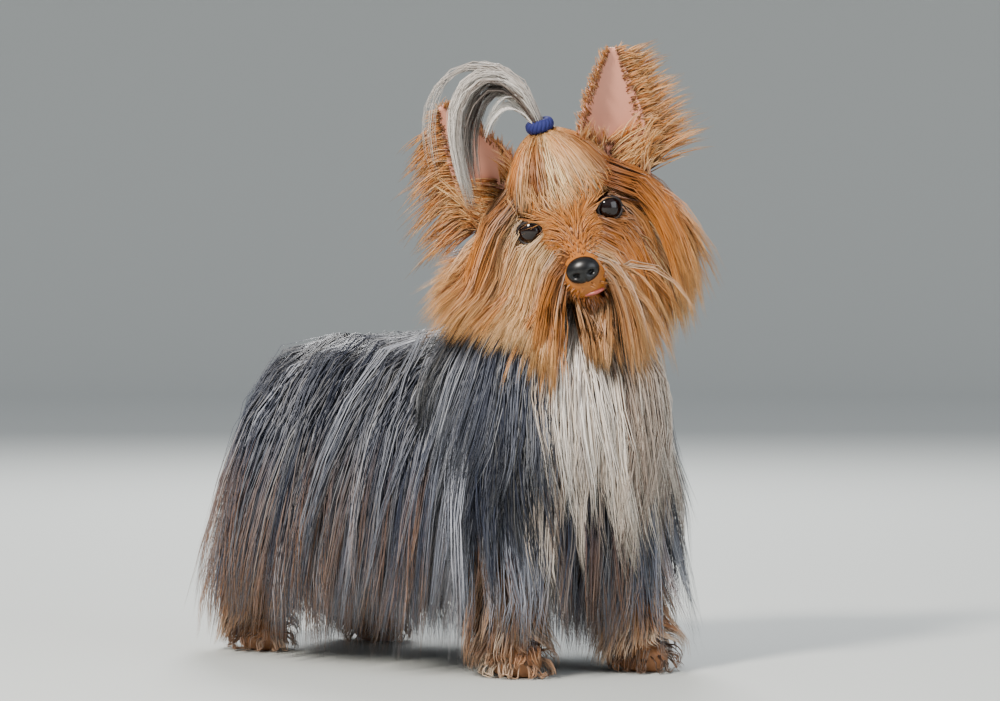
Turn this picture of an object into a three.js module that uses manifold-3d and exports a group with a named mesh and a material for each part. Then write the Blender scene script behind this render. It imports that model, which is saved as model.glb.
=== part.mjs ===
// A life-size standing Yorkshire terrier in full coat, its head turned to its right and tilted.
// Millimetres, +X towards the dog's front, +Y to its left, +Z up, the soles on Z = 0.
import * as THREE from "three";
import { mergeVertices } from "three/addons/utils/BufferGeometryUtils.js";
import Module from "manifold-3d";

const wasm = await Module();
wasm.setup();

// Driving sizes of the standing dog
const backHeight = 204;
const chestFront = 120;
const rumpBack = 132;
const chestDepth = 92;
const bodyNarrowing = 0.9;
const coatCore = 6;
const legCoat = 5;
const coatOverLegs = 7;
const maneOverCoat = 14;
const headOverMane = 15;
const gap = 0.42;
const floorClear = 4;
const cornerGap = 0.004;
const touching = 0.001;
const smoothing = 0.12;

// Driving sizes of the head, and how it is held
const skullWidth = 72;
const eyeSpacing = 49;
const eyeRadius = 9;
const noseReach = 68;
const noseDrop = 22;
const earHeight = 62;
const earWidth = 45;
const earThick = 2.8;
const headHold = { at: [113, -8, 277], turn: -45, nod: 12, tilt: 17.5 };
const lidThick = 1.8;
const lipGape = 2.6;
const bandRadius = 5.4;
const bandCord = 2.4;
const bandHeight = 55;

// Where the four paws stand: [x, y]
const pawSpread = 42;
const pawRadius = 17;
const legs = [
  { name: "foreleg_left", foot: [131, 0.8 * pawSpread], fore: true, side: 1 },
  { name: "foreleg_right", foot: [98, -pawSpread], fore: true, side: -1 },
  { name: "hindleg_left", foot: [-112, pawSpread], fore: false, side: 1 },
  { name: "hindleg_right", foot: [-125, -1.1 * pawSpread], fore: false, side: -1 },
];

const rad = THREE.MathUtils.degToRad;
const vec = (x, y, z) => new THREE.Vector3(x, y, z);
const lerp = THREE.MathUtils.lerp;

// Seeded random draws, so that each build is the same.
let seed = 7;
const draw = () => {
  seed = (seed * 16807) % 2147483647;
  return seed / 2147483647;
};
const vary = (size, share) => size * (1 + share * (2 * draw() - 1));

// Distance fields: each takes a point and gives its distance outside a form.
const bar = (a, ra, b, rb) => (p) => {
  const along = b.clone().sub(a);
  const t = THREE.MathUtils.clamp(p.clone().sub(a).dot(along) / along.lengthSq(), 0, 1);
  return p.distanceTo(along.multiplyScalar(t).add(a)) - lerp(ra, rb, t);
};
const egg = (centre, radii) => (p) => {
  const q = p.clone().sub(centre).divide(radii);
  const steep = q.clone().divide(radii).length();
  return steep < 1e-6 ? -Math.min(radii.x, radii.y, radii.z) : (q.length() * (q.length() - 1)) / steep;
};
const narrowed = (field, share) => (p) => field(vec(p.x, p.y / share, p.z)) * Math.min(share, 1);
const melt = (soft, ...fields) => (p) =>
  fields.map((f) => f(p)).reduce((a, b) => {
    const h = Math.max(soft - Math.abs(a - b), 0) / soft;
    return Math.min(a, b) - (h * h * soft) / 4;
  });
const nearest = (...fields) => (p) => Math.min(...fields.map((f) => f(p)));
const outward = (field, p, step = 0.5) =>
  vec(
    field(vec(p.x + step, p.y, p.z)) - field(vec(p.x - step, p.y, p.z)),
    field(vec(p.x, p.y + step, p.z)) - field(vec(p.x, p.y - step, p.z)),
    field(vec(p.x, p.y, p.z + step)) - field(vec(p.x, p.y, p.z - step)),
  ).normalize();

// The point where a ray from inside a form meets its skin, grown by a level.
function skinPoint(field, from, direction, level = 0) {
  const p = from.clone();
  for (let i = 0; i < 60; i++) {
    const left = level - field(p);
    if (left < 0.02) break;
    p.addScaledVector(direction, Math.max(left * 0.9, 0.02));
  }
  return p;
}

// A closed mesh as a solid, turned the right way out.
function solidFrom(points, faces) {
  const positions = new Float32Array(points.flatMap((p) => [p.x, p.y, p.z]));
  const geometry = new THREE.BufferGeometry()
    .setAttribute("position", new THREE.BufferAttribute(positions, 3))
    .setIndex(faces);
  return solidOf(geometry);
}
function solidOf(geometry) {
  geometry.deleteAttribute("normal");
  geometry.deleteAttribute("uv");
  const merged = mergeVertices(geometry, 1e-4);
  const vertProperties = merged.attributes.position.array;
  const triVerts = new Uint32Array(merged.index.array);
  const make = () => new wasm.Manifold(new wasm.Mesh({ numProp: 3, vertProperties, triVerts }));
  const made = make();
  if (made.volume() > 0) return made;
  triVerts.reverse();
  return make();
}

// Joins rings of points, with a pole at each end, into faces.
function ringFaces(rings, sides) {
  const faces = [];
  const at = (r, s) => 1 + r * sides + (s % sides);
  const last = 1 + rings * sides;
  for (let s = 0; s < sides; s++) {
    faces.push(0, at(0, s), at(0, s + 1));
    faces.push(last, at(rings - 1, s + 1), at(rings - 1, s));
    for (let r = 0; r < rings - 1; r++) {
      faces.push(at(r, s), at(r + 1, s), at(r + 1, s + 1));
      faces.push(at(r, s), at(r + 1, s + 1), at(r, s + 1));
    }
  }
  return faces;
}

// A thin sheet with a front and a back grid of points, split alike on both faces and closed round its edge.
function slab(pointAt, rows, columns) {
  const points = [];
  for (const face of [1, -1]) {
    for (let r = 0; r <= rows; r++) {
      for (let c = 0; c <= columns; c++) points.push(pointAt(r / rows, c / columns, face));
    }
  }
  const at = (r, c, back = 0) => back * (rows + 1) * (columns + 1) + r * (columns + 1) + c;
  const faces = [];
  const quad = (a, b, c, d) => faces.push(a, b, c, a, c, d);
  for (let r = 0; r < rows; r++) {
    for (let c = 0; c < columns; c++) {
      const corners = [[r, c], [r, c + 1], [r + 1, c + 1], [r + 1, c]];
      quad(...corners.map(([i, j]) => at(i, j)));
      const [p, q, s, t] = corners.map(([i, j]) => at(i, j, 1));
      faces.push(p, s, q, p, t, s);
    }
    quad(at(r, 0), at(r + 1, 0), at(r + 1, 0, 1), at(r, 0, 1));
    quad(at(r + 1, columns), at(r, columns), at(r, columns, 1), at(r + 1, columns, 1));
  }
  for (let c = 0; c < columns; c++) {
    quad(at(0, c + 1), at(0, c), at(0, c, 1), at(0, c + 1, 1));
    quad(at(rows, c), at(rows, c + 1), at(rows, c + 1, 1), at(rows, c, 1));
  }
  return solidFrom(points, faces);
}

// Wraps a form with rings round a spine. Rounded ends fan out; a flat end is cut square to the spine.
function wrap(field, spine, { rings, sides, level = 0, across, flatEnd = false, fan = 3 }) {
  const curve = new THREE.CatmullRomCurve3(spine);
  const slices = [];
  for (let i = fan; i > 0; i--) slices.push([0, -rad((90 * i) / (fan + 1))]);
  for (let i = 0; i <= rings; i++) slices.push([i / rings, 0]);
  if (!flatEnd) for (let i = 1; i <= fan; i++) slices.push([1, rad((90 * i) / (fan + 1))]);
  const points = [];
  const start = curve.getPoint(0);
  points.push(skinPoint(field, start, curve.getTangent(0).negate(), level));
  for (const [t, lean] of slices) {
    const centre = curve.getPoint(t);
    const tangent = curve.getTangent(t);
    const right = across.clone().addScaledVector(tangent, -across.dot(tangent)).normalize();
    const up = tangent.clone().cross(right);
    for (let s = 0; s < sides; s++) {
      const a = (2 * Math.PI * s) / sides;
      const ray = right.clone().multiplyScalar(Math.cos(a)).addScaledVector(up, Math.sin(a));
      ray.multiplyScalar(Math.cos(lean)).addScaledVector(tangent, Math.sin(lean));
      const p = skinPoint(field, centre, ray, level);
      if (flatEnd && t === 1) p.z = centre.z;
      points.push(p);
    }
  }
  const end = curve.getPoint(1);
  points.push(flatEnd ? end : skinPoint(field, end, curve.getTangent(1), level));
  return solidFrom(points, ringFaces(slices.length, sides));
}

// A flat, tapered lock of hair: a three-sided blade along a path, its ridge outwards, ending in a point.
// Grown for cutting, it has five sides and stands out by the margin all round.
function blade(path, { width, thick, grow = 0 }) {
  const points = [];
  const last = path.length - 1;
  points.push(path[0].p.clone());
  for (let i = 0; i < last; i++) {
    const t = i / last;
    const before = path[Math.max(i - 1, 0)].p;
    const tangent = path[i + 1].p.clone().sub(before).normalize();
    const out = path[i].out.clone().addScaledVector(tangent, -path[i].out.dot(tangent)).normalize();
    const aside = tangent.clone().cross(out);
    const taper = (0.62 + 0.38 * Math.sin(Math.PI * Math.min(1, 1.6 * t))) * (1 - 0.55 * t * t);
    const half = (width / 2) * taper + grow;
    const high = thick * taper + grow;
    const section = grow
      ? [[half, -grow], [half, grow], [0, high], [-half, grow], [-half, -grow]]
      : [[half, 0], [0, high], [-half, 0]];
    for (const [a, o] of section) {
      points.push(path[i].p.clone().addScaledVector(aside, a).addScaledVector(out, o));
    }
  }
  const ahead = path[last].p.clone().sub(path[last - 1].p).normalize();
  points.push(path[last].p.clone().addScaledVector(ahead, grow));
  return solidFrom(points, ringFaces(last, grow ? 5 : 3));
}

// Lets a lock grow from a skin point along its lie, falling with gravity and kept clear of the forms.
function fallen(root, { field, lie, length, fall, steps, sink, clear, rise, bend }) {
  const out = outward(field, root);
  const path = [{ p: root.clone().addScaledVector(out, -sink), out }];
  const heading = lie.clone().addScaledVector(out, -lie.dot(out)).normalize();
  const p = root.clone().addScaledVector(out, 0.4);
  const step = length / steps;
  for (let i = 1; i <= steps; i++) {
    const t = i / steps;
    heading.addScaledVector(down, fall);
    if (bend) heading.addScaledVector(bend, t * 0.5);
    heading.normalize();
    p.addScaledVector(heading, step);
    const want = clear + rise * t;
    for (let n = 0; n < 3; n++) {
      const short = want - field(p);
      if (short > 0) p.addScaledVector(outward(field, p), short);
    }
    p.z = Math.max(p.z, floorClear);
    path.push({ p: p.clone(), out: outward(field, p) });
  }
  return path;
}

// Forms of the body
const up = vec(0, 0, 1);
const down = vec(0, 0, -1);
const across = vec(0, 1, 0);
const middle = backHeight - chestDepth / 2;
const hips = vec(-rumpBack + 38, 0, middle - 1);
const breast = vec(chestFront - 33, 0, middle - 16);
const ribs = [vec(18, 0, middle - 1), vec(84, 0, middle - 4)];
const trunk = narrowed(
  melt(
    18,
    bar(hips, 42, ribs[0], chestDepth / 2),
    bar(ribs[0], chestDepth / 2, ribs[1], chestDepth / 2 + 1),
    bar(ribs[1], 42, breast, 33),
  ),
  bodyNarrowing,
);
const withers = vec(88, 0, backHeight - 34);

// Places a point of the head's own frame in the dog's frame: its X is the way the nose points.
const headTurn = new THREE.Euler(rad(headHold.tilt), rad(headHold.nod), rad(headHold.turn), "ZYX");
const headMatrix = new THREE.Matrix4().makeRotationFromEuler(headTurn).setPosition(...headHold.at);
const headInverse = headMatrix.clone().invert();
const onHead = (x, y, z) => vec(x, y, z).applyMatrix4(headMatrix);

// Forms of the head, in its own frame
const skullHalf = skullWidth / 2;
const muzzleEnd = vec(noseReach - 13, 0, -noseDrop - 5);
const skull = melt(
  10,
  egg(vec(-2, 0, 6), vec(skullHalf + 4, skullHalf, 33)),
  bar(vec(26, 0, -16), 22, muzzleEnd, 13.5),
  bar(vec(6, skullHalf - 15, -17), 19, vec(24, 12, -24), 15),
  bar(vec(6, 15 - skullHalf, -17), 19, vec(24, -12, -24), 15),
  bar(vec(16, 0, -34), 14, vec(noseReach - 19, 0, -noseDrop - 20), 9),
  bar(vec(21, 12, 15), 11, vec(20, 22, 12), 9),
  bar(vec(21, -12, 15), 11, vec(20, -22, 12), 9),
);
const nape = onHead(-14, 0, -22);
const throat = bar(withers, 36, nape, 30);
const headInWorld = (p) => skull(p.clone().applyMatrix4(headInverse));

// Forms of the legs
function legForm({ foot, fore, side }) {
  const [x, y] = foot;
  const toe = vec(x + 10, y, 9);
  const pad = egg(vec(x + 2, y, 11), vec(pawRadius + 5, pawRadius, 12));
  const paw = melt(6, pad, bar(toe, 9, vec(x - 4, y, 12), 11));
  const ankle = vec(x, y, 13);
  if (fore) {
    const elbow = vec(lerp(96, x, 0.35), side * 37, 92);
    const wrist = vec(x - 6, y, 38);
    const shoulder = vec(92, side * 26, 138);
    return {
      field: melt(8, bar(shoulder, 22, elbow, 17), bar(elbow, 17, wrist, 13), bar(wrist, 13, ankle, 14), paw),
      spine: [shoulder, elbow, wrist, vec(x, y, 0)],
    };
  }
  const hip = vec(-104, side * 24, 138);
  const stifle = vec(-94, side * 31, 100);
  const hock = vec(x - 16, y, 52);
  return {
    field: melt(10, bar(hip, 25, stifle, 22), bar(stifle, 21, hock, 12.5), bar(hock, 12.5, ankle, 14), paw),
    spine: [hip, stifle, hock, vec(x, y, 0)],
  };
}
const legForms = legs.map(legForm);

// Forms of the tail, carried low
const tailRoot = vec(-rumpBack + 10, 0, backHeight - 24);
const tailBend = vec(-rumpBack - 15, -1, 160);
const tailTip = vec(-rumpBack - 24, -3, 118);
const dock = melt(6, bar(tailRoot, 9, tailBend, 7), bar(tailBend, 7, tailTip, 5));

// The whole body as one form, for hair to lie over
const legField = nearest(...legForms.map((l) => l.field));
const bodyField = nearest(trunk, (p) => Math.min(legField(p), dock(p)) - coatOverLegs);
const maneField = nearest((p) => nearest(trunk, legField)(p) - maneOverCoat, throat);
const allField = nearest(headInWorld, (p) => maneField(p) - headOverMane);

// A lock led along given points, its flat side facing a given way.
function led(points, out, steps) {
  const curve = new THREE.CatmullRomCurve3(points);
  return Array.from({ length: steps + 1 }, (_, i) => ({ p: curve.getPoint(i / steps), out: out.clone() }));
}

// Each builder below gives the closed pieces of one node, grown by a margin for cutting its neighbours clear.
const builders = {};

// Body coat: tiers of locks parted along the spine, running from the rump round each flank to the breast
const coatTiers = [
  { angle: 72, from: 0.02, to: 0.72, length: 118, count: 7, width: 42, clear: 11, rise: 14 },
  { angle: 28, from: 0, to: 0.98, length: 140, count: 9, width: 38, clear: 10, rise: 12 },
  { angle: -22, from: 0.02, to: 0.98, length: 132, count: 9, width: 38, clear: 8, rise: 10 },
];
const coatLayer = 4;
function coatRoots(tier, side) {
  return Array.from({ length: tier.count }, (_, i) => {
    const t = lerp(tier.from, tier.to, (i + 0.5) / tier.count);
    const centre = vec(lerp(hips.x - 4, breast.x - 2, THREE.MathUtils.smoothstep(t, 0.08, 0.92)), 0, middle);
    const back = rad(lerp(84, 0, Math.min(1, t / 0.28)) - lerp(0, 80, Math.max(0, (t - 0.72) / 0.28)));
    const up = Math.tan(rad(vary(tier.angle, 0.05)));
    const ray = vec(-Math.sin(back), side * Math.cos(back), up).normalize();
    return { root: skinPoint(trunk, centre, ray, coatCore), t, ray };
  });
}
builders.torso = (grow) => {
  const level = coatCore + grow;
  const made = [
    wrap(trunk, [hips, ribs[0], ribs[1], breast], { rings: 10, sides: 18, level, across }),
  ];
  for (const side of [-1, 1]) {
    for (const tier of coatTiers) {
      coatRoots(tier, side).forEach(({ root, t, ray }, i) => {
        const lie = vec(ray.x * 0.7 - 0.25 * (1 - t), ray.y * 0.6, -1);
        const clear = tier.clear + coatLayer * (i % 2);
        const bend = vec(vary(0.02, 5), side * 0.05, 0);
        const length = vary(tier.length, 0.07);
        const shape = { field: bodyField, lie, length, fall: 0.3, steps: 5, sink: 5, clear, bend };
        const path = fallen(root, { ...shape, rise: tier.rise });
        made.push(blade(path, { width: vary(tier.width, 0.12), thick: 3.2, grow }));
      });
    }
  }
  return made;
};

// Neck, with the mane over the shoulders and the apron down the chest
const maneTiers = [
  { low: 0.2, count: 11, length: 146, width: 40, clear: 6, rise: 6 },
  { low: 0.5, count: 9, length: 118, width: 38, clear: 11, rise: 5 },
];
const maneReach = 140;
builders.neck = (grow) => {
  const made = [
    wrap(throat, [withers, nape], { rings: 5, sides: 18, level: 5 + grow, across }),
  ];
  for (const tier of maneTiers) {
    for (let i = 0; i < tier.count; i++) {
      const turn = rad(lerp(-maneReach, maneReach, (i + 0.5) / tier.count));
      const centre = withers.clone().lerp(nape, tier.low);
      const ray = vec(1, 0, 0.1).applyAxisAngle(up, turn);
      const root = skinPoint(throat, centre, ray, 5);
      const flank = Math.abs(Math.sin(turn));
      const lie = vec(ray.x * 0.7, ray.y * 1.5, -0.9);
      const clear = tier.clear + coatLayer * (i % 2);
      const rise = tier.rise + 7 * flank;
      const length = vary(tier.length * (1 + 0.08 * flank), 0.06);
      const path = fallen(root, { field: maneField, lie, length, fall: 0.3, steps: 5, sink: 7, clear, rise });
      made.push(blade(path, { width: vary(tier.width, 0.12), thick: 3.4, grow }));
    }
  }
  return made;
};

// Legs: a core down to flat soles, and a ring of locks round it below the elbow or the hock
const feather = { height: 52, count: 7, length: 50, width: 22 };
legs.forEach(({ name, foot, fore, side }, n) => {
  const { field, spine } = legForms[n];
  const [x, y] = foot;
  builders[name] = (grow) => {
    const made = [
      wrap(field, spine, { rings: 6, sides: 10, level: legCoat + grow, across, flatEnd: true, fan: 2 }),
    ];
    const { height, count, length, width } = feather;
    const shaft = fore
      ? vec(lerp(x - 5, 95, height / 140), lerp(y, side * 37, height / 92), height)
      : vec(x - 16, lerp(y, side * 37, height / 100), height);
    for (let i = 0; i < count; i++) {
      const ray = vec(1, 0, 0).applyAxisAngle(up, (2 * Math.PI * (i + 0.5)) / count);
      const root = skinPoint(field, shaft, ray, legCoat);
      const lie = vec(ray.x * 0.5, ray.y * 0.5, -1);
      const clear = legCoat + 1.5 + 2 * (i % 2);
      const shape = { field, lie, length: vary(length, 0.08), fall: 0.3, steps: 3, sink: 4, clear, rise: 4 };
      made.push(blade(fallen(root, shape), { width, thick: 2.6, grow }));
    }
    return made;
  };
});

// Tail, carried low, with its plume
builders.tail = (grow) => {
  const made = [
    wrap(dock, [tailRoot, tailBend, tailTip], { rings: 5, sides: 10, level: 3 + grow, across, fan: 2 }),
  ];
  for (let i = 0; i < 5; i++) {
    const t = (i + 0.5) / 5;
    const aside = (i % 3) - 1;
    const centre = tailBend.clone().lerp(tailTip, t * 0.8);
    const root = skinPoint(dock, centre, vec(-1, aside, 0.1).normalize(), 3);
    const lie = vec(-0.5, aside * 0.5, -1);
    const shape = { field: dock, lie, length: vary(50, 0.1), fall: 0.35, steps: 4, sink: 4, clear: 4, rise: 3 };
    made.push(blade(fallen(root, shape), { width: 15, thick: 2.6, grow }));
  }
  return made;
};

// Head: skull with lids and lips, and locks of the forehead, cheeks, moustache, beard and crown
const bandAt = vec(5, -1, bandHeight);
const eyeAt = (side) => vec(24, side * (eyeSpacing / 2 - 1), 1.6);
const noseAt = vec(noseReach - 3.5, 0, -noseDrop);
const placed = (solid) => solid.transform(headMatrix.elements);
const roundSolid = (centre, radii, slices) => {
  const ball = new THREE.SphereGeometry(1, slices, Math.round(slices * 0.6));
  ball.rotateX(Math.PI / 2).scale(radii.x, radii.y, radii.z).translate(centre.x, centre.y, centre.z);
  return solidOf(ball);
};
const ballSolid = (centre, radius, slices) => roundSolid(centre, vec(radius, radius, radius), slices);
const stemFoot = vec(2, -1, 30);
const stem = bar(stemFoot, 15, bandAt, bandRadius);
const onSkull = (from, ray, level) =>
  skinPoint(headInWorld, onHead(...from), vec(...ray).normalize().transformDirection(headMatrix), level);

function headLock(centre, ray, lieTo, { width, grow, length, ...shape }) {
  const root = onSkull(centre, ray, 1);
  const lie = vec(...lieTo).transformDirection(headMatrix);
  const path = fallen(root, { field: allField, lie, length: vary(length, 0.08), sink: 6, ...shape });
  return blade(path, { width: vary(width, 0.12), thick: 2.6, grow });
}
const hairTiers = {
  forehead: { count: 3, width: 13, thick: 2.2 },
  cheeks: [
    { height: 16, length: 118, out: 1.5, clear: 8, rise: 22, count: 4 },
    { height: -2, length: 106, out: 1.2, clear: 6, rise: 18, count: 4 },
    { height: -18, length: 90, out: 0.9, clear: 4, rise: 12, count: 3 },
  ],
  moustache: { count: 4, length: [84, 88], rise: [14, 9], width: 21 },
  beard: { count: 5, length: 50, width: 19 },
  crown: { count: 4, length: 78, width: 30 },
};

// Forehead and temples, drawn up to the band
function foreheadLock(side, i, grow) {
  const { count, width, thick } = hairTiers.forehead;
  const t = i / (count - 1);
  const heart = onHead(0, 0, 4);
  const start = onSkull([lerp(30, 8, t), side * lerp(7, 30, t), lerp(12, 22, t)], [1, side * 0.3 * i, 0.4], 1);
  const over = onSkull([0, 0, 4], [0.5, side * (0.16 * i + 0.08), 1], 4);
  const end = onHead(bandAt.x, bandAt.y, bandAt.z).addScaledVector(down, 6);
  const out = start.clone().lerp(end, 0.5).sub(heart).normalize();
  start.addScaledVector(out, -3);
  const mid = start.clone().lerp(over, 0.5).addScaledVector(out, 5);
  return blade(led([start, mid, over, end], out, 3), { width, thick, grow });
}

builders.head = (grow) => {
  const spine = [vec(-14, 0, 2), vec(8, 0, -6), vec(34, 0, -24), vec(noseReach - 16, 0, -noseDrop - 8)];
  const core = wrap(skull, spine, { rings: 11, sides: 18, level: 1 + grow, across, fan: 3 });
  const bunch = wrap(stem, [stemFoot, bandAt], { rings: 3, sides: 12, level: grow, across, fan: 2 });
  const lids = [-1, 1].map((side) => ballSolid(eyeAt(side), eyeRadius + lidThick + grow, 10));
  let carved = wasm.Manifold.union([core, bunch, ...lids]);
  if (!grow) {
    const inner = wrap(skull, spine, { rings: 4, sides: 10, level: -2.5, across, fan: 2 });
    const gape = roundSolid(vec(48, 0, -noseDrop - 18), vec(26, 26, lipGape / 2), 12).subtract(inner);
    const slits = [-1, 1].map((side) =>
      roundSolid(eyeAt(side).add(vec(8, side * 2.5, -0.5)), vec(10, 8.6, 6.4), 10));
    carved = carved.subtract(wasm.Manifold.union([gape, ...slits]));
  }
  const made = [placed(carved)];
  const { cheeks, moustache, beard, crown } = hairTiers;
  for (const side of [-1, 1]) {
    for (let i = 0; i < hairTiers.forehead.count; i++) made.push(foreheadLock(side, i, grow));
    for (const { height, length, out, clear, rise, count } of cheeks) {
      for (let i = 0; i < count; i++) {
        const t = i / (count - 1);
        const centre = [lerp(-20, 14, t), side * 8, height];
        const lie = [lerp(-0.5, 0.2, t), side * out, -0.35];
        const shape = { length, fall: 0.4, clear: clear + 3 * (i % 2), rise, width: 30, steps: 4, grow };
        made.push(headLock(centre, [lerp(-0.5, 0.5, t), side, 0], lie, shape));
      }
    }
    for (let i = 0; i < moustache.count; i++) {
      const t = i / (moustache.count - 1);
      const centre = [lerp(32, 55, t), side * 3, lerp(-20, -24, t)];
      const ray = [lerp(0, 0.6, t), side, lerp(-0.1, 0.1, t)];
      const length = lerp(...moustache.length, t);
      const rise = lerp(...moustache.rise, t);
      const clear = 4 + 2.6 * (i % 2);
      const shape = { length, fall: 0.34, clear, rise, width: moustache.width, steps: 4, grow };
      made.push(headLock(centre, ray, [0.15, side * 1.2, -0.3], shape));
    }
  }
  for (let i = 0; i < beard.count; i++) {
    const t = i / (beard.count - 1);
    const centre = [lerp(26, 50, (i % 3) / 2), lerp(-9, 9, t), -38];
    const lie = [0.4, lerp(-0.4, 0.4, t), -1];
    const shape = { ...beard, fall: 0.4, clear: 3 + 3 * (i % 2), rise: 5, steps: 3, grow };
    made.push(headLock(centre, [0.3, lerp(-0.7, 0.7, t), -1], lie, shape));
  }
  for (let i = 0; i < crown.count; i++) {
    const t = i / (crown.count - 1);
    const ray = [-1, lerp(-1.2, 1.2, t), 0.5];
    const lie = [-1, lerp(-1, 1, t), -0.4];
    const shape = { ...crown, fall: 0.3, clear: 5 + 3 * (i % 2), rise: 12, steps: 4, grow };
    made.push(headLock([-10, lerp(-14, 14, t), 12], ray, lie, shape));
  }
  return made;
};

// Nose leather with its nostrils
const noseSize = vec(7, 10, 8);
builders.nose = (grow) => {
  const leather = roundSolid(noseAt, noseSize.clone().addScalar(grow), 10);
  if (grow) return [placed(leather)];
  const nostrils = [-1, 1].map((side) =>
    roundSolid(noseAt.clone().add(vec(5.8, side * 4.6, -1.2)), vec(3.2, 2.5, 2), 8));
  return [placed(leather.subtract(wasm.Manifold.union(nostrils)))];
};
for (const [name, side] of [["eye_left", 1], ["eye_right", -1]]) {
  builders[name] = (grow) => [placed(ballSolid(eyeAt(side), eyeRadius + grow, 14))];
}

// Ears: cupped leaves of even thickness with a fringe blown off their edges
const ears = {
  ear_left: {
    base: vec(-8, 30, 14),
    tip: vec(-12, 54, 87.5),
    face: vec(0.92, 0.25, -0.1),
    blown: vec(0, 1, 0.25),
  },
  ear_right: {
    base: vec(-8, -33, 11),
    tip: vec(-12, -55, 84.5),
    face: vec(0.92, -0.3, 0),
    blown: vec(0, -0.8, -0.5),
  },
};
const fringe = { count: 8, outer: [38, 17], inner: 13, width: 11, thick: 1.8 };
function leafPoint({ base, tip, face }, u, v, offset) {
  const rise = tip.clone().sub(base);
  const axis = rise.clone().normalize();
  const opening = face.clone().addScaledVector(axis, -face.dot(axis)).normalize();
  const aside = axis.clone().cross(opening);
  const half = (earWidth / 2) * Math.max(0, 1 - v) ** 0.62 * (1 + 0.25 * Math.sin(Math.PI * v));
  const bow = rad(lerp(72, 36, v));
  const a = u * bow;
  const r = half / Math.sin(bow);
  return base.clone().addScaledVector(rise, v)
    .addScaledVector(aside, (r + offset) * Math.sin(a))
    .addScaledVector(opening, r * Math.cos(bow) * 0.6 - (r + offset) * Math.cos(a) + r * 0.4);
}
for (const [name, ear] of Object.entries(ears)) {
  const spread = leafPoint(ear, 1, 0.4, 0).y - leafPoint(ear, -1, 0.4, 0).y;
  const outerEdge = 0.9 * Math.sign(spread * ear.base.y);
  const axis = ear.tip.clone().sub(ear.base).normalize();
  builders[name] = (grow) => {
    const half = earThick / 2 + grow;
    const leaf = slab((r, c, face) => {
      const v = lerp(-0.16 - 0.006 * grow, 0.96 + 0.008 * grow, r);
      return leafPoint(ear, (1 + 0.03 * grow) * (2 * c - 1), v, face * half);
    }, 6, 8);
    const made = [placed(leaf)];
    for (let i = 0; i < fringe.count; i++) {
      const t = i / (fringe.count - 1);
      const inner = i % 4 === 2;
        const root = leafPoint(ear, inner ? -outerEdge : outerEdge, lerp(0.26, 0.84, t), 0);
      const away = ear.blown.clone().multiplyScalar(inner ? -0.15 : 1).addScaledVector(axis, 0.5);
      const length = inner ? fringe.inner : lerp(...fringe.outer, t);
      const start = root.clone().addScaledVector(away, -3);
      const mid = root.clone().addScaledVector(away, length * 0.5).add(vec(2, 0, 0));
      const end = root.clone().addScaledVector(away, length * 0.85).add(vec(0, 0, -length * 0.35));
      const path = led([start, mid, end], ear.face, 3);
      made.push(placed(blade(path, { width: vary(fringe.width, 0.15), thick: fringe.thick, grow })));
    }
    return made;
  };
}

// Hair band wound twice round the gathered forelock
const bandTurn = 4.4;
builders.hair_band = (grow) => {
  const rings = [0, 1].map((i) => {
    const loop = new THREE.TorusGeometry(bandRadius, bandCord + grow, 6, 12);
    return solidOf(loop.translate(bandAt.x, bandAt.y + 0.4 * i, bandAt.z + bandTurn * i));
  });
  const drum = new THREE.CylinderGeometry(bandRadius + grow, bandRadius + grow, 8 + 2 * grow, 12);
  drum.rotateX(Math.PI / 2).translate(bandAt.x, bandAt.y, bandAt.z + bandTurn / 2);
  return [placed(wasm.Manifold.union([solidOf(drum), ...rings]))];
};

// Topknot springing from the band and falling over to the dog's right
const knotAt = bandAt.clone().add(vec(0, 0, 8));
const knot = { count: 6, width: 13, thick: 2, facing: vec(1, -0.3, 0.35) };
builders.topknot = (grow) => {
  const made = [roundSolid(knotAt, vec(5 + grow, 5 + grow, 7 + grow), 12)];
  for (let i = 0; i < knot.count; i++) {
    const s = (2 * i) / (knot.count - 1) - 1;
    const layer = 2.8 * (i % 2);
    const points = [
      knotAt.clone().add(vec(s, 0, -3)),
      vec(6 + 5 * s, -4 + 3 * s, 82),
      vec(8 + 9 * s, -20, 99 + layer - 3 * s * s),
      vec(13 + 9 * s, -42 - layer, 90 + layer - 4 * s * s),
      vec(20 + 6 * s, -52 - layer, 64),
      vec(26 + 3 * s, vary(-53, 0.03), 26 + 12 * Math.abs(s)),
    ];
    made.push(blade(led(points, knot.facing, 6), { width: knot.width, thick: knot.thick, grow }));
  }
  return made.map(placed);
};

// Later nodes in this list are cut clear of the earlier ones they touch.
const order = [
  "eye_left", "eye_right", "nose", "hair_band", "ear_left", "ear_right", "head", "topknot",
  "torso", "neck", "tail", "foreleg_left", "foreleg_right", "hindleg_left", "hindleg_right",
];
const largest = (solid) => solid.decompose().reduce((a, b) => (b.volume() > a.volume() ? b : a));
const built = (name, grow) => {
  seed = 7 + 13 * order.indexOf(name);
  return wasm.Manifold.union(builders[name](grow));
};
// The hull of a small piece, grown by a margin all round
const swollen = (bit, margin) => {
  const ways = [-margin, margin];
  const shifts = ways.flatMap((x) => ways.flatMap((y) => ways.map((z) => [x, y, z])));
  return wasm.Manifold.hull(shifts.map((shift) => bit.translate(shift)));
};
function cutClear(solid, other) {
  if (solid.intersect(grown[other]).volume() < touching) return solid;
  let cut = solid.subtract(grown[other]);
  for (const bit of cut.intersect(pieces[other]).decompose()) cut = cut.subtract(swollen(bit, gap));
  return cut;
}
const pieces = {};
const grown = {};
for (const name of order) {
  let solid = built(name, 0);
  for (const other of Object.keys(pieces)) solid = cutClear(solid, other);
  solid = solid.trimByPlane([0, 0, 1], 0).asOriginal().simplify(smoothing);
  pieces[name] = largest(solid);
  grown[name] = built(name, gap);
}

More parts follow.
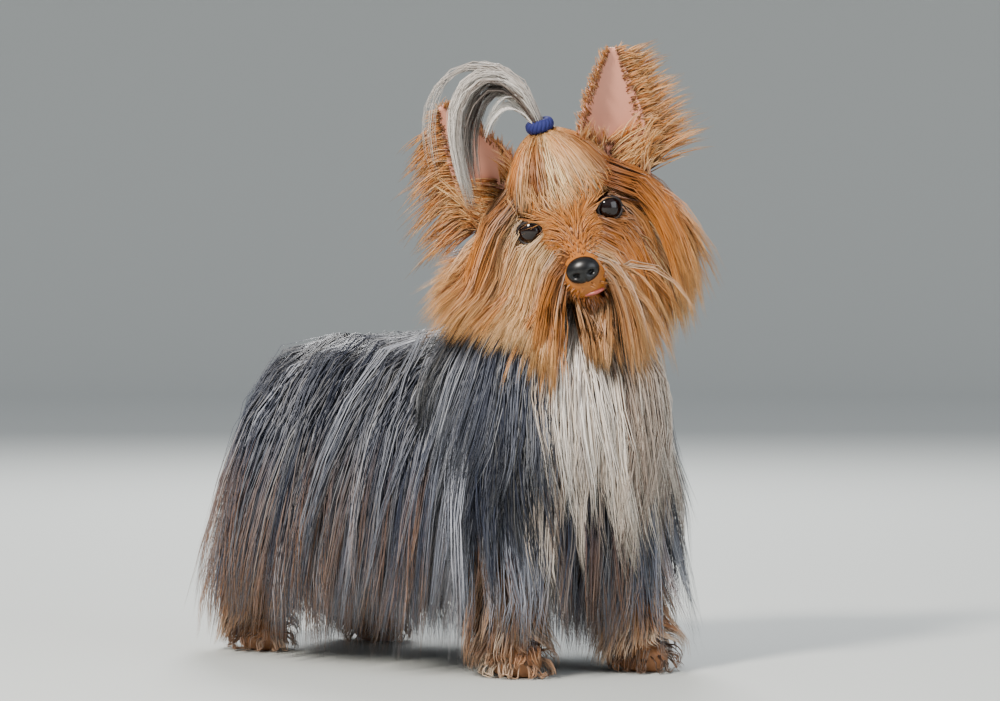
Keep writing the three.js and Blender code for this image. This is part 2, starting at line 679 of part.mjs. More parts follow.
const colours = {
  fur_blue: 0x4d5260,
  fur_tan: 0xb98a5c,
  fur_cream: 0xcdb9a0,
  leather: 0x1c1a1a,
  eye: 0x241512,
  band: 0x232a5c,
};
const slots = {
  torso: "fur_blue",
  tail: "fur_blue",
  neck: "fur_cream",
  topknot: "fur_cream",
  nose: "leather",
  eye_left: "eye",
  eye_right: "eye",
  hair_band: "band",
};

// Moves corners that fall on one another, or on an edge, a little towards their own neighbours.
function parted({ vertProperties, triVerts }) {
  const corner = (i) => vec(...vertProperties.slice(3 * i, 3 * i + 3));
  const seen = new Map();
  const meeting = new Set();
  for (let i = 0; i < vertProperties.length / 3; i++) {
    const cell = corner(i).divideScalar(cornerGap).floor();
    for (let n = 0; n < 27; n++) {
      const near = cell.clone().add(vec((n % 3) - 1, (Math.floor(n / 3) % 3) - 1, Math.floor(n / 9) - 1));
      for (const j of seen.get(near.toArray().join()) ?? []) {
        if (corner(j).distanceTo(corner(i)) < cornerGap) meeting.add(i);
      }
    }
    const key = cell.toArray().join();
    seen.set(key, [...(seen.get(key) ?? []), i]);
  }
  for (let t = 0; t < triVerts.length; t += 3) {
    const face = [...triVerts.slice(t, t + 3)];
    const [a, b, c] = face.map(corner);
    const sides = [b.distanceTo(c), c.distanceTo(a), a.distanceTo(b)];
    const longest = Math.max(...sides);
    const area = b.clone().sub(a).cross(c.clone().sub(a)).length();
    if (area / longest < cornerGap / 2) meeting.add(face[sides.indexOf(longest)]);
  }
  for (const i of meeting) {
    const mean = vec(0, 0, 0);
    let count = 0;
    for (let t = 0; t < triVerts.length; t += 3) {
      const face = triVerts.slice(t, t + 3);
      if (!face.includes(i)) continue;
      for (const j of face) mean.add(corner(j));
      count += 3;
    }
    const nudge = mean.divideScalar(count).sub(corner(i)).setLength(4 * cornerGap);
    corner(i).add(nudge).toArray(vertProperties, 3 * i);
  }
  return { vertProperties, triVerts };
}

function meshOf(solid, name) {
  const { vertProperties, triVerts } = parted(solid.getMesh());
  const geometry = new THREE.BufferGeometry()
    .setAttribute("position", new THREE.BufferAttribute(vertProperties, 3))
    .setIndex(new THREE.BufferAttribute(triVerts, 1));
  const material = new THREE.MeshStandardMaterial({ color: colours[slots[name] ?? "fur_tan"], roughness: 0.6 });
  const mesh = new THREE.Mesh(geometry, material);
  mesh.name = name;
  return mesh;
}

// The dog, its box centred over the origin and its soles on the floor
const dog = new THREE.Group();
for (const name of order) dog.add(meshOf(pieces[name], name));
const bounds = new THREE.Box3().setFromObject(dog);
const centre = bounds.getCenter(vec(0, 0, 0));
for (const mesh of dog.children) mesh.geometry.translate(-centre.x, -centre.y, -bounds.min.z);

export default dog;
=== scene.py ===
import math
import bpy
import numpy as np
from mathutils import Matrix, Vector


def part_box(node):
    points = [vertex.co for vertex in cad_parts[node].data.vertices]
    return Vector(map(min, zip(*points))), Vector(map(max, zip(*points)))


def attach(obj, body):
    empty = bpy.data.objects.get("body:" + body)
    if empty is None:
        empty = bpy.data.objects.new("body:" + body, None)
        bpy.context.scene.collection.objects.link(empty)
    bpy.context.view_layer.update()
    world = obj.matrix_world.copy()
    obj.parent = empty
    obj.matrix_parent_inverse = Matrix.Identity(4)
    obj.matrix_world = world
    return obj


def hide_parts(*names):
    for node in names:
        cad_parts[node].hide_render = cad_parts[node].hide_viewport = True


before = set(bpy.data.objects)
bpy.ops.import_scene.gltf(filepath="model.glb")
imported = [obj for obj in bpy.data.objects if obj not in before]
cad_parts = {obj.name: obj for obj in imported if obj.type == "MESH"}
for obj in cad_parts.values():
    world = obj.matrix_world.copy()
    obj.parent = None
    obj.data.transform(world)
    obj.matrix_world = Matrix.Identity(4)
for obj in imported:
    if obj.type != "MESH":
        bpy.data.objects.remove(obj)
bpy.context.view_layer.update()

rng = np.random.default_rng(11)

# Sizes of the dog in millimetres: X to the front, Y to its left, Z up
backHeight = 204
chestDepth = 92
chestFront = 120
rumpBack = 132
bodyNarrowing = 0.9
pawSpread = 42
headAt = np.array([113.0, -8.0, 277.0])
headTurn, headNod, headTilt = (math.radians(a) for a in (-45, 12, 17.5))

# How far hair stays off the floor, and off the layer under it
floorClear = 0.8
strandClear = 0.3
coatOverLegs = 6
maneOverCoat = 12
headOverMane = 12


def turned(axis, angle):
    return np.array(Matrix.Rotation(angle, 3, axis))


headAxes = turned("Z", headTurn) @ turned("Y", headNod) @ turned("X", headTilt)


def onHead(p):  # from the head's own frame to the dog's
    return np.asarray(p, float) @ headAxes.T + headAt


def headWay(d):
    return np.asarray(d, float) @ headAxes.T


def nodeMiddle(name):
    lo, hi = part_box(name)
    return np.array((lo + hi) / 2) * 1000


noseInHead = np.array([64.5, 0, -22])
frameShift = nodeMiddle("nose") - onHead(noseInHead)
frameShift[2] = 0


def toFrame(p):
    return (np.asarray(p) + frameShift) * 0.001


def unit(v):
    return v / np.maximum(np.linalg.norm(v, axis=-1, keepdims=True), 1e-9)


def vectors(x, y, z):  # rows of three, where any of them may be one number for all
    return np.stack(np.broadcast_arrays(x, y, z), -1)


def bar(a, ra, b, rb):  # each form is a function from points to their distance outside it
    a, b = np.array(a, float), np.array(b, float)
    along = b - a

    def form(p):
        t = np.clip(((p - a) @ along) / (along @ along), 0, 1)
        return np.linalg.norm(p - a - t[..., None] * along, axis=-1) - (ra + (rb - ra) * t)
    return form


def egg(centre, radii):
    centre, radii = np.array(centre, float), np.array(radii, float)

    def form(p):
        q = (p - centre) / radii
        size = np.linalg.norm(q, axis=-1)
        return size * (size - 1) / np.maximum(np.linalg.norm(q / radii, axis=-1), 1e-6)
    return form


def melt(soft, *forms):
    def form(p):
        total = forms[0](p)
        for other in forms[1:]:
            d = other(p)
            h = np.maximum(soft - np.abs(total - d), 0) / soft
            total = np.minimum(total, d) - h * h * soft / 4
        return total
    return form


def nearest(*forms):
    return lambda p: np.minimum.reduce([f(p) for f in forms])


def narrowed(form, share):
    return lambda p: form(p / np.array([1, share, 1])) * share


def outward(form, p, step=0.6):
    ways = np.eye(3) * step
    return unit(np.stack([form(p + w) - form(p - w) for w in ways], -1))


def skinPoints(form, start, way):  # from inside a form along each way to its surface
    p = start.copy()
    for _ in range(40):
        p += way * np.maximum(-form(p) * 0.9, 0)[..., None]
    return p


middle = backHeight - chestDepth / 2
hips = (-rumpBack + 38, 0, middle - 1)
breast = (chestFront - 33, 0, middle - 16)
rib = [(18, 0, middle - 1), (84, 0, middle - 4)]
trunk = narrowed(melt(18,
                      bar(hips, 42, rib[0], chestDepth / 2),
                      bar(rib[0], chestDepth / 2, rib[1], chestDepth / 2 + 1),
                      bar(rib[1], 42, breast, 33)), bodyNarrowing)
withers = (88, 0, backHeight - 34)
nape = onHead((-14, 0, -22))
throat = bar(withers, 34, nape, 29)

muzzleEnd = (55, 0, -27)
skull = melt(10,
             egg((-2, 0, 6), (40, 36, 33)),
             bar((26, 0, -16), 21, muzzleEnd, 13),
             bar((6, 21, -17), 19, (24, 12, -24), 15),
             bar((6, -21, -17), 19, (24, -12, -24), 15),
             bar((16, 0, -34), 13, (49, 0, -42), 9),
             bar((21, 12, 15), 11, (20, 22, 12), 9),
             bar((21, -12, 15), 11, (20, -22, 12), 9))


def headForm(p):
    return skull((p - headAt) @ headAxes)


eyeRadius = 9.0
eyeOpening = 8.2
socketRadii = (11, 8.8, 7.6)
eyeMiddles = [(nodeMiddle(f"eye_{name}") - frameShift - headAt) @ headAxes for name in ("left", "right")]
sockets = nearest(*[egg(at + np.array([3.5, 0, 0]), socketRadii) for at in eyeMiddles])
mouthLine = egg((50, 0, -40), (24, 24, 1.2))


def carvedHead(p):  # the head with its eye sockets and the line of the mouth
    q = (p - headAt) @ headAxes
    form = np.maximum(skull(q), -sockets(q))
    return np.maximum(form, -np.maximum(mouthLine(q), -4 - skull(q)))


legs = {
    "foreleg_left": {"foot": (131, 0.8 * pawSpread), "fore": True, "side": 1},
    "foreleg_right": {"foot": (98, -pawSpread), "fore": True, "side": -1},
    "hindleg_left": {"foot": (-112, pawSpread), "fore": False, "side": 1},
    "hindleg_right": {"foot": (-125, -1.1 * pawSpread), "fore": False, "side": -1},
}
for leg in legs.values():
    x, y = leg["foot"]
    side = leg["side"]
    paw = melt(6, egg((x + 3, y, 9), (18, 14, 9)), bar((x + 10, y, 7), 7, (x - 4, y, 11), 9))
    if leg["fore"]:
        joints = [(92, side * 26, 138), (0.65 * 96 + 0.35 * x, side * 37, 92), (x - 6, y, 38), (x, y, 13)]
        sizes = [21, 15, 10, 11]
    else:
        joints = [(-104, side * 24, 138), (-94, side * 31, 100), (x - 16, y, 52), (x, y, 13)]
        sizes = [24, 20, 10, 11]
    bones = [bar(joints[i], sizes[i], joints[i + 1], sizes[i + 1]) for i in range(3)]
    leg["form"] = melt(8, *bones, paw)
    leg["spine"] = [*joints[:3], (x + 4, y, 10)]
legForm = nearest(*[leg["form"] for leg in legs.values()])
tailBase = (-rumpBack + 10, 0, backHeight - 24)
tailBend = (-rumpBack - 15, -1, 160)
tailTip = (-rumpBack - 24, -3, 118)
dock = melt(6, bar(tailBase, 8, tailBend, 6), bar(tailBend, 6, tailTip, 4))


def bodyForm(p):  # what the body coat lies over
    return np.minimum(trunk(p), nearest(legForm, dock)(p) - coatOverLegs)


def maneForm(p):  # what the mane lies over
    return np.minimum(nearest(trunk, legForm)(p) - maneOverCoat, throat(p))


def overAll(p):  # what the hair of the head lies over
    return np.minimum(headForm(p), maneForm(p) - headOverMane)


# Skin: closed lofts round each form, remeshed into one surface
def loft(form, spine, rings, sides, fan=5):
    spine = np.array(spine, float)
    lengths = np.concatenate([[0], np.cumsum(np.linalg.norm(np.diff(spine, axis=0), axis=1))])
    t = np.linspace(0, lengths[-1], rings)
    centres = vectors(*[np.interp(t, lengths, spine[:, i]) for i in range(3)])
    tangents = unit(np.gradient(centres, axis=0))
    leans = np.radians(90 * np.arange(1, fan + 1) / (fan + 1))
    slices = [(0, -a) for a in leans[::-1]] + [(i, 0) for i in range(rings)]
    slices += [(rings - 1, a) for a in leans]
    around = np.linspace(0, 2 * np.pi, sides, endpoint=False)
    points = [skinPoints(form, centres[:1], -tangents[:1])]
    for i, lean in slices:
        right = unit(np.array([0, 1, 0]) - tangents[i][1] * tangents[i])
        up = np.cross(tangents[i], right)
        ray = np.cos(around)[:, None] * right + np.sin(around)[:, None] * up
        ray = ray * math.cos(lean) + tangents[i] * math.sin(lean)
        points.append(skinPoints(form, np.repeat(centres[i:i + 1], sides, 0), ray))
    points.append(skinPoints(form, centres[-1:], tangents[-1:]))
    count = len(slices)
    last = 1 + count * sides

    def corner(r, s):
        return 1 + r * sides + s % sides

    faces = []
    for s in range(sides):
        faces.append((0, corner(0, s + 1), corner(0, s)))
        faces.append((last, corner(count - 1, s), corner(count - 1, s + 1)))
        for r in range(count - 1):
            faces.append((corner(r, s), corner(r, s + 1), corner(r + 1, s + 1), corner(r + 1, s)))
    return np.concatenate(points), faces


def placed(name, data):
    thing = bpy.data.objects.new(name, data)
    bpy.context.scene.collection.objects.link(thing)
    return thing


def aimed(thing, place, way):
    thing.location = Vector(place)
    thing.rotation_mode = "QUATERNION"
    thing.rotation_quaternion = Vector(way).to_track_quat("-Z", "Y")


def meshPiece(name, points, faces):
    mesh = bpy.data.meshes.new(name)
    mesh.from_pydata(toFrame(points).tolist(), [], faces)
    mesh.update()
    mesh.shade_smooth()
    return placed(name, mesh)


def pointsOf(piece):
    co = np.empty(len(piece.data.vertices) * 3)
    piece.data.vertices.foreach_get("co", co)
    return co.reshape(-1, 3)


def closedTube(line, radius, sides, normals=None, wider=1):  # round a closed line in the head's own frame
    tangent = unit(np.roll(line, -1, 0) - np.roll(line, 1, 0))
    side1 = unit(np.cross(tangent, [0, 0, 1])) if normals is None else normals
    side2 = np.cross(tangent, side1)
    b = np.linspace(0, 2 * np.pi, sides, endpoint=False)[None, :, None]
    ring = np.cos(b) * side1[:, None] + wider * np.sin(b) * side2[:, None]
    points = onHead((line[:, None] + radius * ring).reshape(-1, 3))
    faces = []
    for r in range(len(line)):
        here, there = r * sides, (r + 1) % len(line) * sides
        for s in range(sides):
            after = (s + 1) % sides
            faces.append((here + s, here + after, there + after, there + s))
    return points, faces


def joined(parts):
    points, faces, count = [], [], 0
    for p, f in parts:
        points.append(p)
        faces += [tuple(i + count for i in face) for face in f]
        count += len(p)
    return np.concatenate(points), faces


def worn(piece, slot, looks, *nodes):  # the piece stands for these nodes and wears the given looks
    for look in looks:
        piece.data.materials.append(look.material)
    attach(piece, "root")
    if nodes:
        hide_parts(*nodes)


def remeshed(piece, size):  # overlapping lofts become one surface
    modifier = piece.modifiers.new("Remesh", "REMESH")
    modifier.mode = "VOXEL"
    modifier.voxel_size = size
    seen = piece.evaluated_get(bpy.context.evaluated_depsgraph_get())
    mesh = bpy.data.meshes.new_from_object(seen)
    piece.modifiers.clear()
    piece.data = mesh
    mesh.shade_smooth()


# Materials
class Wire:  # one output socket that can be reckoned with
    def __init__(self, tree, socket):
        self.tree, self.socket = tree, socket

    def math(self, operation, *others):
        node = self.tree.nodes.new("ShaderNodeMath")
        node.operation = operation
        for i, value in enumerate((self, *others)):
            plug(self.tree, value, node.inputs[i])
        return Wire(self.tree, node.outputs[0])

    def __add__(self, other):
        return self.math("ADD", other)

    def __mul__(self, other):
        return self.math("MULTIPLY", other)

    def __sub__(self, other):
        return self.math("SUBTRACT", other)

    def __rsub__(self, other):
        return (self * -1) + other

    __radd__ = __add__
    __rmul__ = __mul__

    def held(self):
        return self.math("MINIMUM", 1).math("MAXIMUM", 0)


def plug(tree, value, socket):
    if isinstance(value, Wire):
        tree.links.new(value.socket, socket)
    else:
        socket.default_value = value


class Look:  # one material under construction
    def __init__(self, name, **settings):
        self.material = bpy.data.materials.new(name)
        self.material.use_nodes = True
        self.tree = self.material.node_tree
        self.skin = self.tree.nodes["Principled BSDF"]
        for key, value in settings.items():
            self.skin.inputs[key.replace("_", " ")].default_value = value

    def node(self, kind, settings, sockets, output):
        made = self.tree.nodes.new(kind)
        for key, value in settings.items():
            setattr(made, key, value)
        for key, value in sockets.items():
            plug(self.tree, value, made.inputs[key])
        return Wire(self.tree, made.outputs[output])

    def attribute(self, name):
        return self.node("ShaderNodeAttribute", {"attribute_name": name}, {}, 2)

    def mix(self, share, a, b):
        sockets = {0: share, 6: colour(a), 7: colour(b)}
        return self.node("ShaderNodeMix", {"data_type": "RGBA"}, sockets, 2)

    def put(self, name, value):
        plug(self.tree, value, self.skin.inputs[name])


def colour(value):
    if isinstance(value, Wire):
        return value
    return (*[(c / 255) ** 2.2 for c in value], 1)


def furLook(name, root, body, pale, deep, tip, warm=(158, 116, 80)):  # the shades that hair runs through
    look = Look(name, Roughness=0.4, Specular_IOR_Level=0.35)
    along = look.attribute("along")
    # Hair is drawn darker towards its root: partly the hair's own darker roots, partly painted shade deep in
    # the coat under the outer hair
    shade = look.mix((along * 2.2).held(), root, body)
    shade = look.mix((along - 0.55).held() * 1.6, shade, tip)
    shade = look.mix((look.attribute("warm") * (along - 0.45).held() * 2.6).held(), shade, warm)
    shade = look.mix(look.attribute("pale"), shade, pale)
    shade = look.mix(look.attribute("deep"), shade, deep)
    tone = look.attribute("tone")
    shade = look.mix((tone - 0.5).held() * 0.55, shade, (255, 250, 240))
    shade = look.mix((0.5 - tone).held() * 0.9, shade, (8, 6, 6))
    look.put("Base Color", shade)
    return look


blueLook = furLook("Coat blue", root=(16, 16, 22), body=(48, 54, 72), pale=(180, 184, 196), deep=(10, 11, 18),
                   tip=(74, 76, 88), warm=(150, 108, 76))
# The cream's brown root and deep shades stand for painted shade, the brown shadow between the locks of the
# apron
creamLook = furLook("Coat cream", root=(136, 106, 84), body=(228, 212, 194), pale=(252, 248, 242),
                    deep=(96, 68, 52), tip=(240, 230, 218))
tanLook = furLook("Coat tan", root=(96, 52, 22), body=(192, 118, 50), pale=(248, 214, 160), deep=(94, 46, 16),
                  tip=(226, 168, 100))
legLook = furLook("Coat legs", root=(84, 54, 38), body=(170, 118, 80), pale=(234, 210, 182),
                  deep=(56, 38, 30), tip=(204, 160, 120))
skinMarks = {"along": 0.35, "tone": 0.46, "pale": 0, "deep": 0.3, "warm": 0}


def marked(piece, deep):  # the skin carries the same marks as the hair
    p = pointsOf(piece) * 1000 - frameShift
    for key, mark in {**skinMarks, "deep": deep(p)}.items():
        values = np.broadcast_to(mark, len(p)).astype(np.float32)
        piece.data.attributes.new(key, "FLOAT", "POINT").data.foreach_set("value", values)


# Hair: guides grow from the skin along the lie, and each carries a clump of strands
hairSteps = 5
droopSteps = 7  # the droop is reckoned for this many steps, however many there are
patchSize = 0.003  # of one strand on the unwrap


def grown(roots, outs, lie, length, form, fall, clear, rise, bend=0, sink=1.0, steps=hairSteps):
    heading = unit(lie - np.sum(lie * outs, -1, keepdims=True) * outs * 0.85)
    p = roots - outs * sink
    paths, faces = [p.copy()], [outs]
    step = (np.broadcast_to(length, len(roots)) / steps)[:, None]
    turning = droopSteps / steps
    for i in range(1, steps + 1):
        t = i / steps
        pull = np.array([0, 0, -1]) * fall + bend * t
        heading = unit(heading + pull * turning)
        p = p + heading * step
        want = clear + rise * t
        for _ in range(2):  # pushed out where it would lie too close
            short = np.maximum(want - form(p), 0)
            p = p + outward(form, p) * short[:, None]
        p[:, 2] = np.maximum(p[:, 2], floorClear + 1.5)
        paths.append(p.copy())
        faces.append(outward(form, p))
    return np.stack(paths, 1), np.stack(faces, 1)


def clumped(paths, outs, piece, gather=0.6, wave=1.0, depth=0.6, shorter=0.25):
    count = piece["perGuide"]
    guides, stations, _ = paths.shape
    t = np.linspace(0, 1, stations)[None, None, :, None]
    tangent = unit(np.gradient(paths, axis=1))
    aside = unit(np.cross(tangent, outs))
    angle = rng.uniform(0, 2 * np.pi, (guides, count, 1, 1))
    reach = np.sqrt(rng.uniform(0, 1, (guides, count, 1, 1))) * piece["spread"]
    width = reach * (1 - gather * t)
    wobble = rng.normal(0, wave, (guides, count, 1, 1)) * np.sin(t * rng.uniform(2, 5, (guides, count, 1, 1)))
    cut = 1 - shorter * rng.uniform(0, 1, (guides, count, 1, 1)) ** 1.5
    at = np.clip(t * cut, 0, 1) * (stations - 1)
    low = np.minimum(at.astype(int), stations - 2)
    share = at - low

    def resampled(values):
        index = np.broadcast_to(low, (guides, count, stations, 1))
        block = np.broadcast_to(values[:, None], (guides, count, stations, 3))
        below, above = (np.take_along_axis(block, index + k, 2) for k in (0, 1))
        return below * (1 - share) + above * share

    outAt, asideAt = resampled(outs), resampled(aside)
    lift = np.maximum(np.sin(angle), -0.2) * width * depth
    children = resampled(paths) + asideAt * (np.cos(angle) * width + wobble) + outAt * lift
    children[..., 2] = np.maximum(children[..., 2], floorClear)
    shape = (guides * count, stations, 3)
    return children.reshape(shape), outAt.reshape(shape), np.repeat(np.arange(guides), count)


def strandPiece(name, look, paths, outs, width, uv, shades, slot, *nodes, thin=0.7):
    count, stations, _ = paths.shape
    t = np.linspace(0, 1, stations)
    tangent = unit(np.gradient(paths, axis=1))
    aside = unit(np.cross(tangent, outs))
    out = np.cross(aside, tangent)
    taper = (0.7 + 0.3 * np.sin(np.pi * np.minimum(1, 1.5 * t))) * (1 - t ** 2.2) ** 0.8
    half = 0.5 * (width * rng.uniform(thin, 1.2, count))[:, None, None] * taper[None, :, None]
    body = slice(0, stations - 1)
    ringPoints = np.stack([paths + aside * half, paths + out * half * 0.7, paths - aside * half], 2)[:, body]
    perStrand = 3 * (stations - 1) + 1
    points = np.concatenate([ringPoints.reshape(count, -1, 3), paths[:, -1:]], 1).reshape(-1, 3)
    points[:, 2] = np.maximum(points[:, 2], strandClear)
    faces = [(0, 2, 1)]
    for r in range(stations - 2):
        for s in range(3):
            a, b = 3 * r + s, 3 * r + (s + 1) % 3
            faces += [(a, b, b + 3), (a, b + 3, a + 3)]
    top = 3 * (stations - 2)
    faces += [(top + s, top + (s + 1) % 3, perStrand - 1) for s in range(3)]
    faces = np.array(faces)
    allFaces = (faces[None] + perStrand * np.arange(count)[:, None, None]).reshape(-1)
    mesh = bpy.data.meshes.new(name)
    mesh.vertices.add(len(points))
    mesh.vertices.foreach_set("co", toFrame(points).astype(np.float32).ravel())
    mesh.loops.add(len(allFaces))
    mesh.loops.foreach_set("vertex_index", allFaces.astype(np.int32))
    mesh.polygons.add(len(allFaces) // 3)
    mesh.polygons.foreach_set("loop_start", np.arange(0, len(allFaces), 3, dtype=np.int32))
    mesh.update(calc_edges=True)
    along = np.concatenate([np.repeat(t[body], 3), [1]])
    across = np.concatenate([np.tile([0, 0.5, 1], stations - 1), [0.5]])
    values = {"along": np.tile(along, count)}
    for key, shade in {"warm": np.zeros(count), **shades}.items():
        values[key] = np.repeat(shade, perStrand)
    for key, value in values.items():
        mesh.attributes.new(key, "FLOAT", "POINT").data.foreach_set("value", value.astype(np.float32))
    patch = patchSize * np.stack([across, along], -1)
    uvPoints = (np.clip(uv, 0.01, 0.985)[:, None] + patch[None]).reshape(-1, 2)
    layer = mesh.uv_layers.new(name="OFBake")
    layer.data.foreach_set("uv", uvPoints[allFaces].astype(np.float32).ravel())
    mesh.shade_smooth()
    print("hair", name, count, "strands", len(allFaces) // 3, "triangles")
    worn(placed(name, mesh), slot, [look], *nodes)


def bodyUv(roots):  # the trunk unrolled: along the spine, and round it
    along = (roots[:, 0] + 200) / 420
    around = np.arctan2(roots[:, 1], roots[:, 2] - middle) / (2 * np.pi) + 0.5
    return np.stack([0.03 + 0.94 * along, 0.03 + 0.94 * around], -1)


def headUv(roots):  # the head unrolled like a globe
    q = (roots - headAt) @ headAxes
    turn = np.arctan2(q[:, 1], q[:, 0]) / (2 * np.pi) + 0.5
    high = np.arctan2(q[:, 2], np.hypot(q[:, 0], q[:, 1])) / np.pi + 0.5
    return np.stack([0.03 + 0.94 * turn, 0.03 + 0.94 * high], -1)


def waves(p, size, seed):  # smooth bands over the skin, from 0 to 1
    draws = np.random.default_rng(seed)
    total = 0
    for _ in range(5):
        way = draws.normal(size=3)
        total = total + np.sin(p @ unit(way) / size * draws.uniform(0.7, 1.6) + draws.uniform(0, 6))
    return np.clip(0.5 + total / 5, 0, 1)


def spreadOut(count):  # evenly spread pairs of numbers from 0 to 1
    i = np.arange(count)
    return np.stack([(i + 0.5) / count, (i * 0.61803398875) % 1], -1)


# Body coat, from the rump round each flank to the breast
coat = {"guides": 840, "perGuide": 10, "spread": 8.5, "strand": 1.1, "hem": 8, "wave": 5, "widest": 94,
        "lowest": -40, "sweep": 129.3, "fall": 0.34}


def swayed(paths, size, seed):  # soft waves along the hair, neighbours waving together
    t = np.linspace(0, 1, paths.shape[1])[None, :]
    phase = 9 * waves(paths[:, 0], 34, seed)[:, None]
    turns = 5 + 3 * waves(paths[:, 0], 21, seed + 1)[:, None]
    across = unit(np.cross(paths[:, -1] - paths[:, 0], paths[:, 0] - [20, 0, middle]))[:, None]
    paths = paths + across * (size * t * np.sin(turns * t + phase))[..., None]
    paths[..., 2] = np.maximum(paths[..., 2], floorClear + 1)
    return paths


def clumpTones(owner, spread=0.1, fine=0.09):  # hair of one clump is about as light as its neighbours
    ofClump = rng.normal(0, spread, owner.max() + 1)
    return np.clip(0.5 + ofClump[owner] + rng.normal(0, fine, len(owner)), 0, 1)


def paintedShoulderSheen(strands):  # 1 at the middle of the painted highlight, a band of silver sheen down the shoulder
    half = strands[:, 3]
    return np.exp(-((half[:, 0] + half[:, 1] - 4) / 10) ** 2)


def coatGuides(side, part):  # the rear or front half of one flank
    pairs = spreadOut(coat["guides"] // 2)
    t = pairs[:, 0] * 0.5 + part * 0.5
    angle = np.radians(coat["lowest"] + coat["sweep"] * pairs[:, 1] ** 0.85)
    keep = (t < 0.82) | (angle < 0.5)  # the mane covers the rest
    t, angle = t[keep], angle[keep]
    ease = np.clip((t - 0.08) / 0.84, 0, 1)
    ease = ease * ease * (3 - 2 * ease)
    centre = vectors(hips[0] - 4 + (breast[0] + 2 - hips[0]) * ease, 0, middle)
    back = np.radians(84 * (1 - np.minimum(1, t / 0.28)) - 86 * np.maximum(0, (t - 0.72) / 0.28))
    ray = unit(vectors(-np.sin(back), side * np.cos(back), np.tan(angle)))
    roots = skinPoints(trunk, centre, ray)
    outs = outward(trunk, roots)
    lie = vectors(ray[:, 0] * 0.5 - 0.3 * (1 - t) * t * 2, ray[:, 1] * 0.6, -1.0)
    lie += rng.normal(0, 0.12, lie.shape)
    high = np.clip(np.sin(angle), 0, 1)
    lie[:, 1] += side * 0.35 * high ** 4  # parted along the spine
    drop = roots[:, 2] - coat["hem"] - 16 * waves(roots, 18, 14)
    length = (drop * 1.05 + 26 * high) * (1 - 0.34 * high * rng.uniform(0, 1, len(t)) ** 2)
    clear = 3 + 7 * high + rng.uniform(0, 4, len(t))
    bend = vectors(rng.normal(0, 0.06, len(t)), side * rng.uniform(-0.04, 0.05, len(t)), 0)
    bend[:, 0] += 0.1 * np.clip(-roots[:, 0] / 130, 0, 1)
    rise = (10 + 5 * high) * np.clip(1.15 + roots[:, 0] / 170, 0.35, 1)
    clear = clear * np.clip(1.3 + roots[:, 0] / 170, 0.5, 1)
    paths, faces = grown(roots, outs, lie, length, bodyForm, coat["fall"], clear, rise, bend)
    over = np.maximum(np.abs(paths[..., 1]) - coat["widest"], 0)
    paths[..., 1] -= 0.6 * over * np.sign(paths[..., 1])
    return roots, swayed(paths, coat["wave"], 12), faces


for side, sideName in ((1, "left"), (-1, "right")):
    for part, partName in ((0, "rear"), (1, "front")):
        roots, paths, faces = coatGuides(side, part)
        strands, outs, owner = clumped(paths, faces, coat, wave=1.6)
        rootOf = roots[owner]
        n = len(owner)
        silver = waves(roots, 8, 3) ** 3 + 0.8 * (rng.uniform(0, 1, len(roots)) < 0.12)
        streak = silver[owner] * rng.uniform(0.3, 1.1, n) + 0.3 * rng.uniform(0, 1, n) ** 6
        # Painted highlight: a band of sheen down the shoulder on the side facing the camera
        streak += 0.8 * paintedShoulderSheen(strands) * (side < 0) * rng.uniform(0.3, 1, n)
        shoulder = np.clip((rootOf[:, 0] - 10) / 40, 0, 1)
        dark = (0.3 + 0.9 * shoulder) * np.clip(waves(rootOf, 16, 4) - 0.3, 0, 1)
        rear = np.clip((-60 - rootOf[:, 0]) / 50, 0, 1)
        low = np.clip((90 - strands[:, -1, 2]) / 40, 0, 1)
        brown = (0.75 + 0.4 * rear) * low * (rng.uniform(0, 1, len(roots))[owner] < 0.5 + 0.3 * rear)
        shades = {"tone": clumpTones(owner),
                  "pale": np.clip(streak, 0, 0.85),
                  "deep": np.clip(dark, 0, 0.8),
                  "warm": np.clip(brown * rng.uniform(0.5, 1.5, n), 0, 1)}
        strandPiece(f"coat_{sideName}_{partName}", blueLook, strands, outs, coat["strand"], bodyUv(rootOf),
                    shades, "fur_blue", thin=0.6)
print("body coat done")

# Skin of the body, its soles flat on the floor and tan below the hem of the coat
soleHeight = 0.0004
tanBelow = 0.085
bodyParts = [loft(trunk, [hips, rib[0], rib[1], breast], 30, 48),
             loft(throat, [withers, nape], 12, 36),
             loft(dock, [tailBase, tailBend, tailTip], 14, 20)]
bodyParts += [loft(leg["form"], leg["spine"], 26, 28) for leg in legs.values()]
skin = meshPiece("body_skin", *joined(bodyParts))
remeshed(skin, 0.0024)
for vertex in skin.data.vertices:
    vertex.co.z = max(vertex.co.z, soleHeight)
worn(skin, "fur_blue", [blueLook, legLook], "torso", "neck", "tail", *legs)
marked(skin, deep=lambda p: 0.5 * (p[:, 2] > 60))
heights = np.array([face.center.z for face in skin.data.polygons])
skin.data.polygons.foreach_set("material_index", (heights < tanBelow).astype(np.int32))

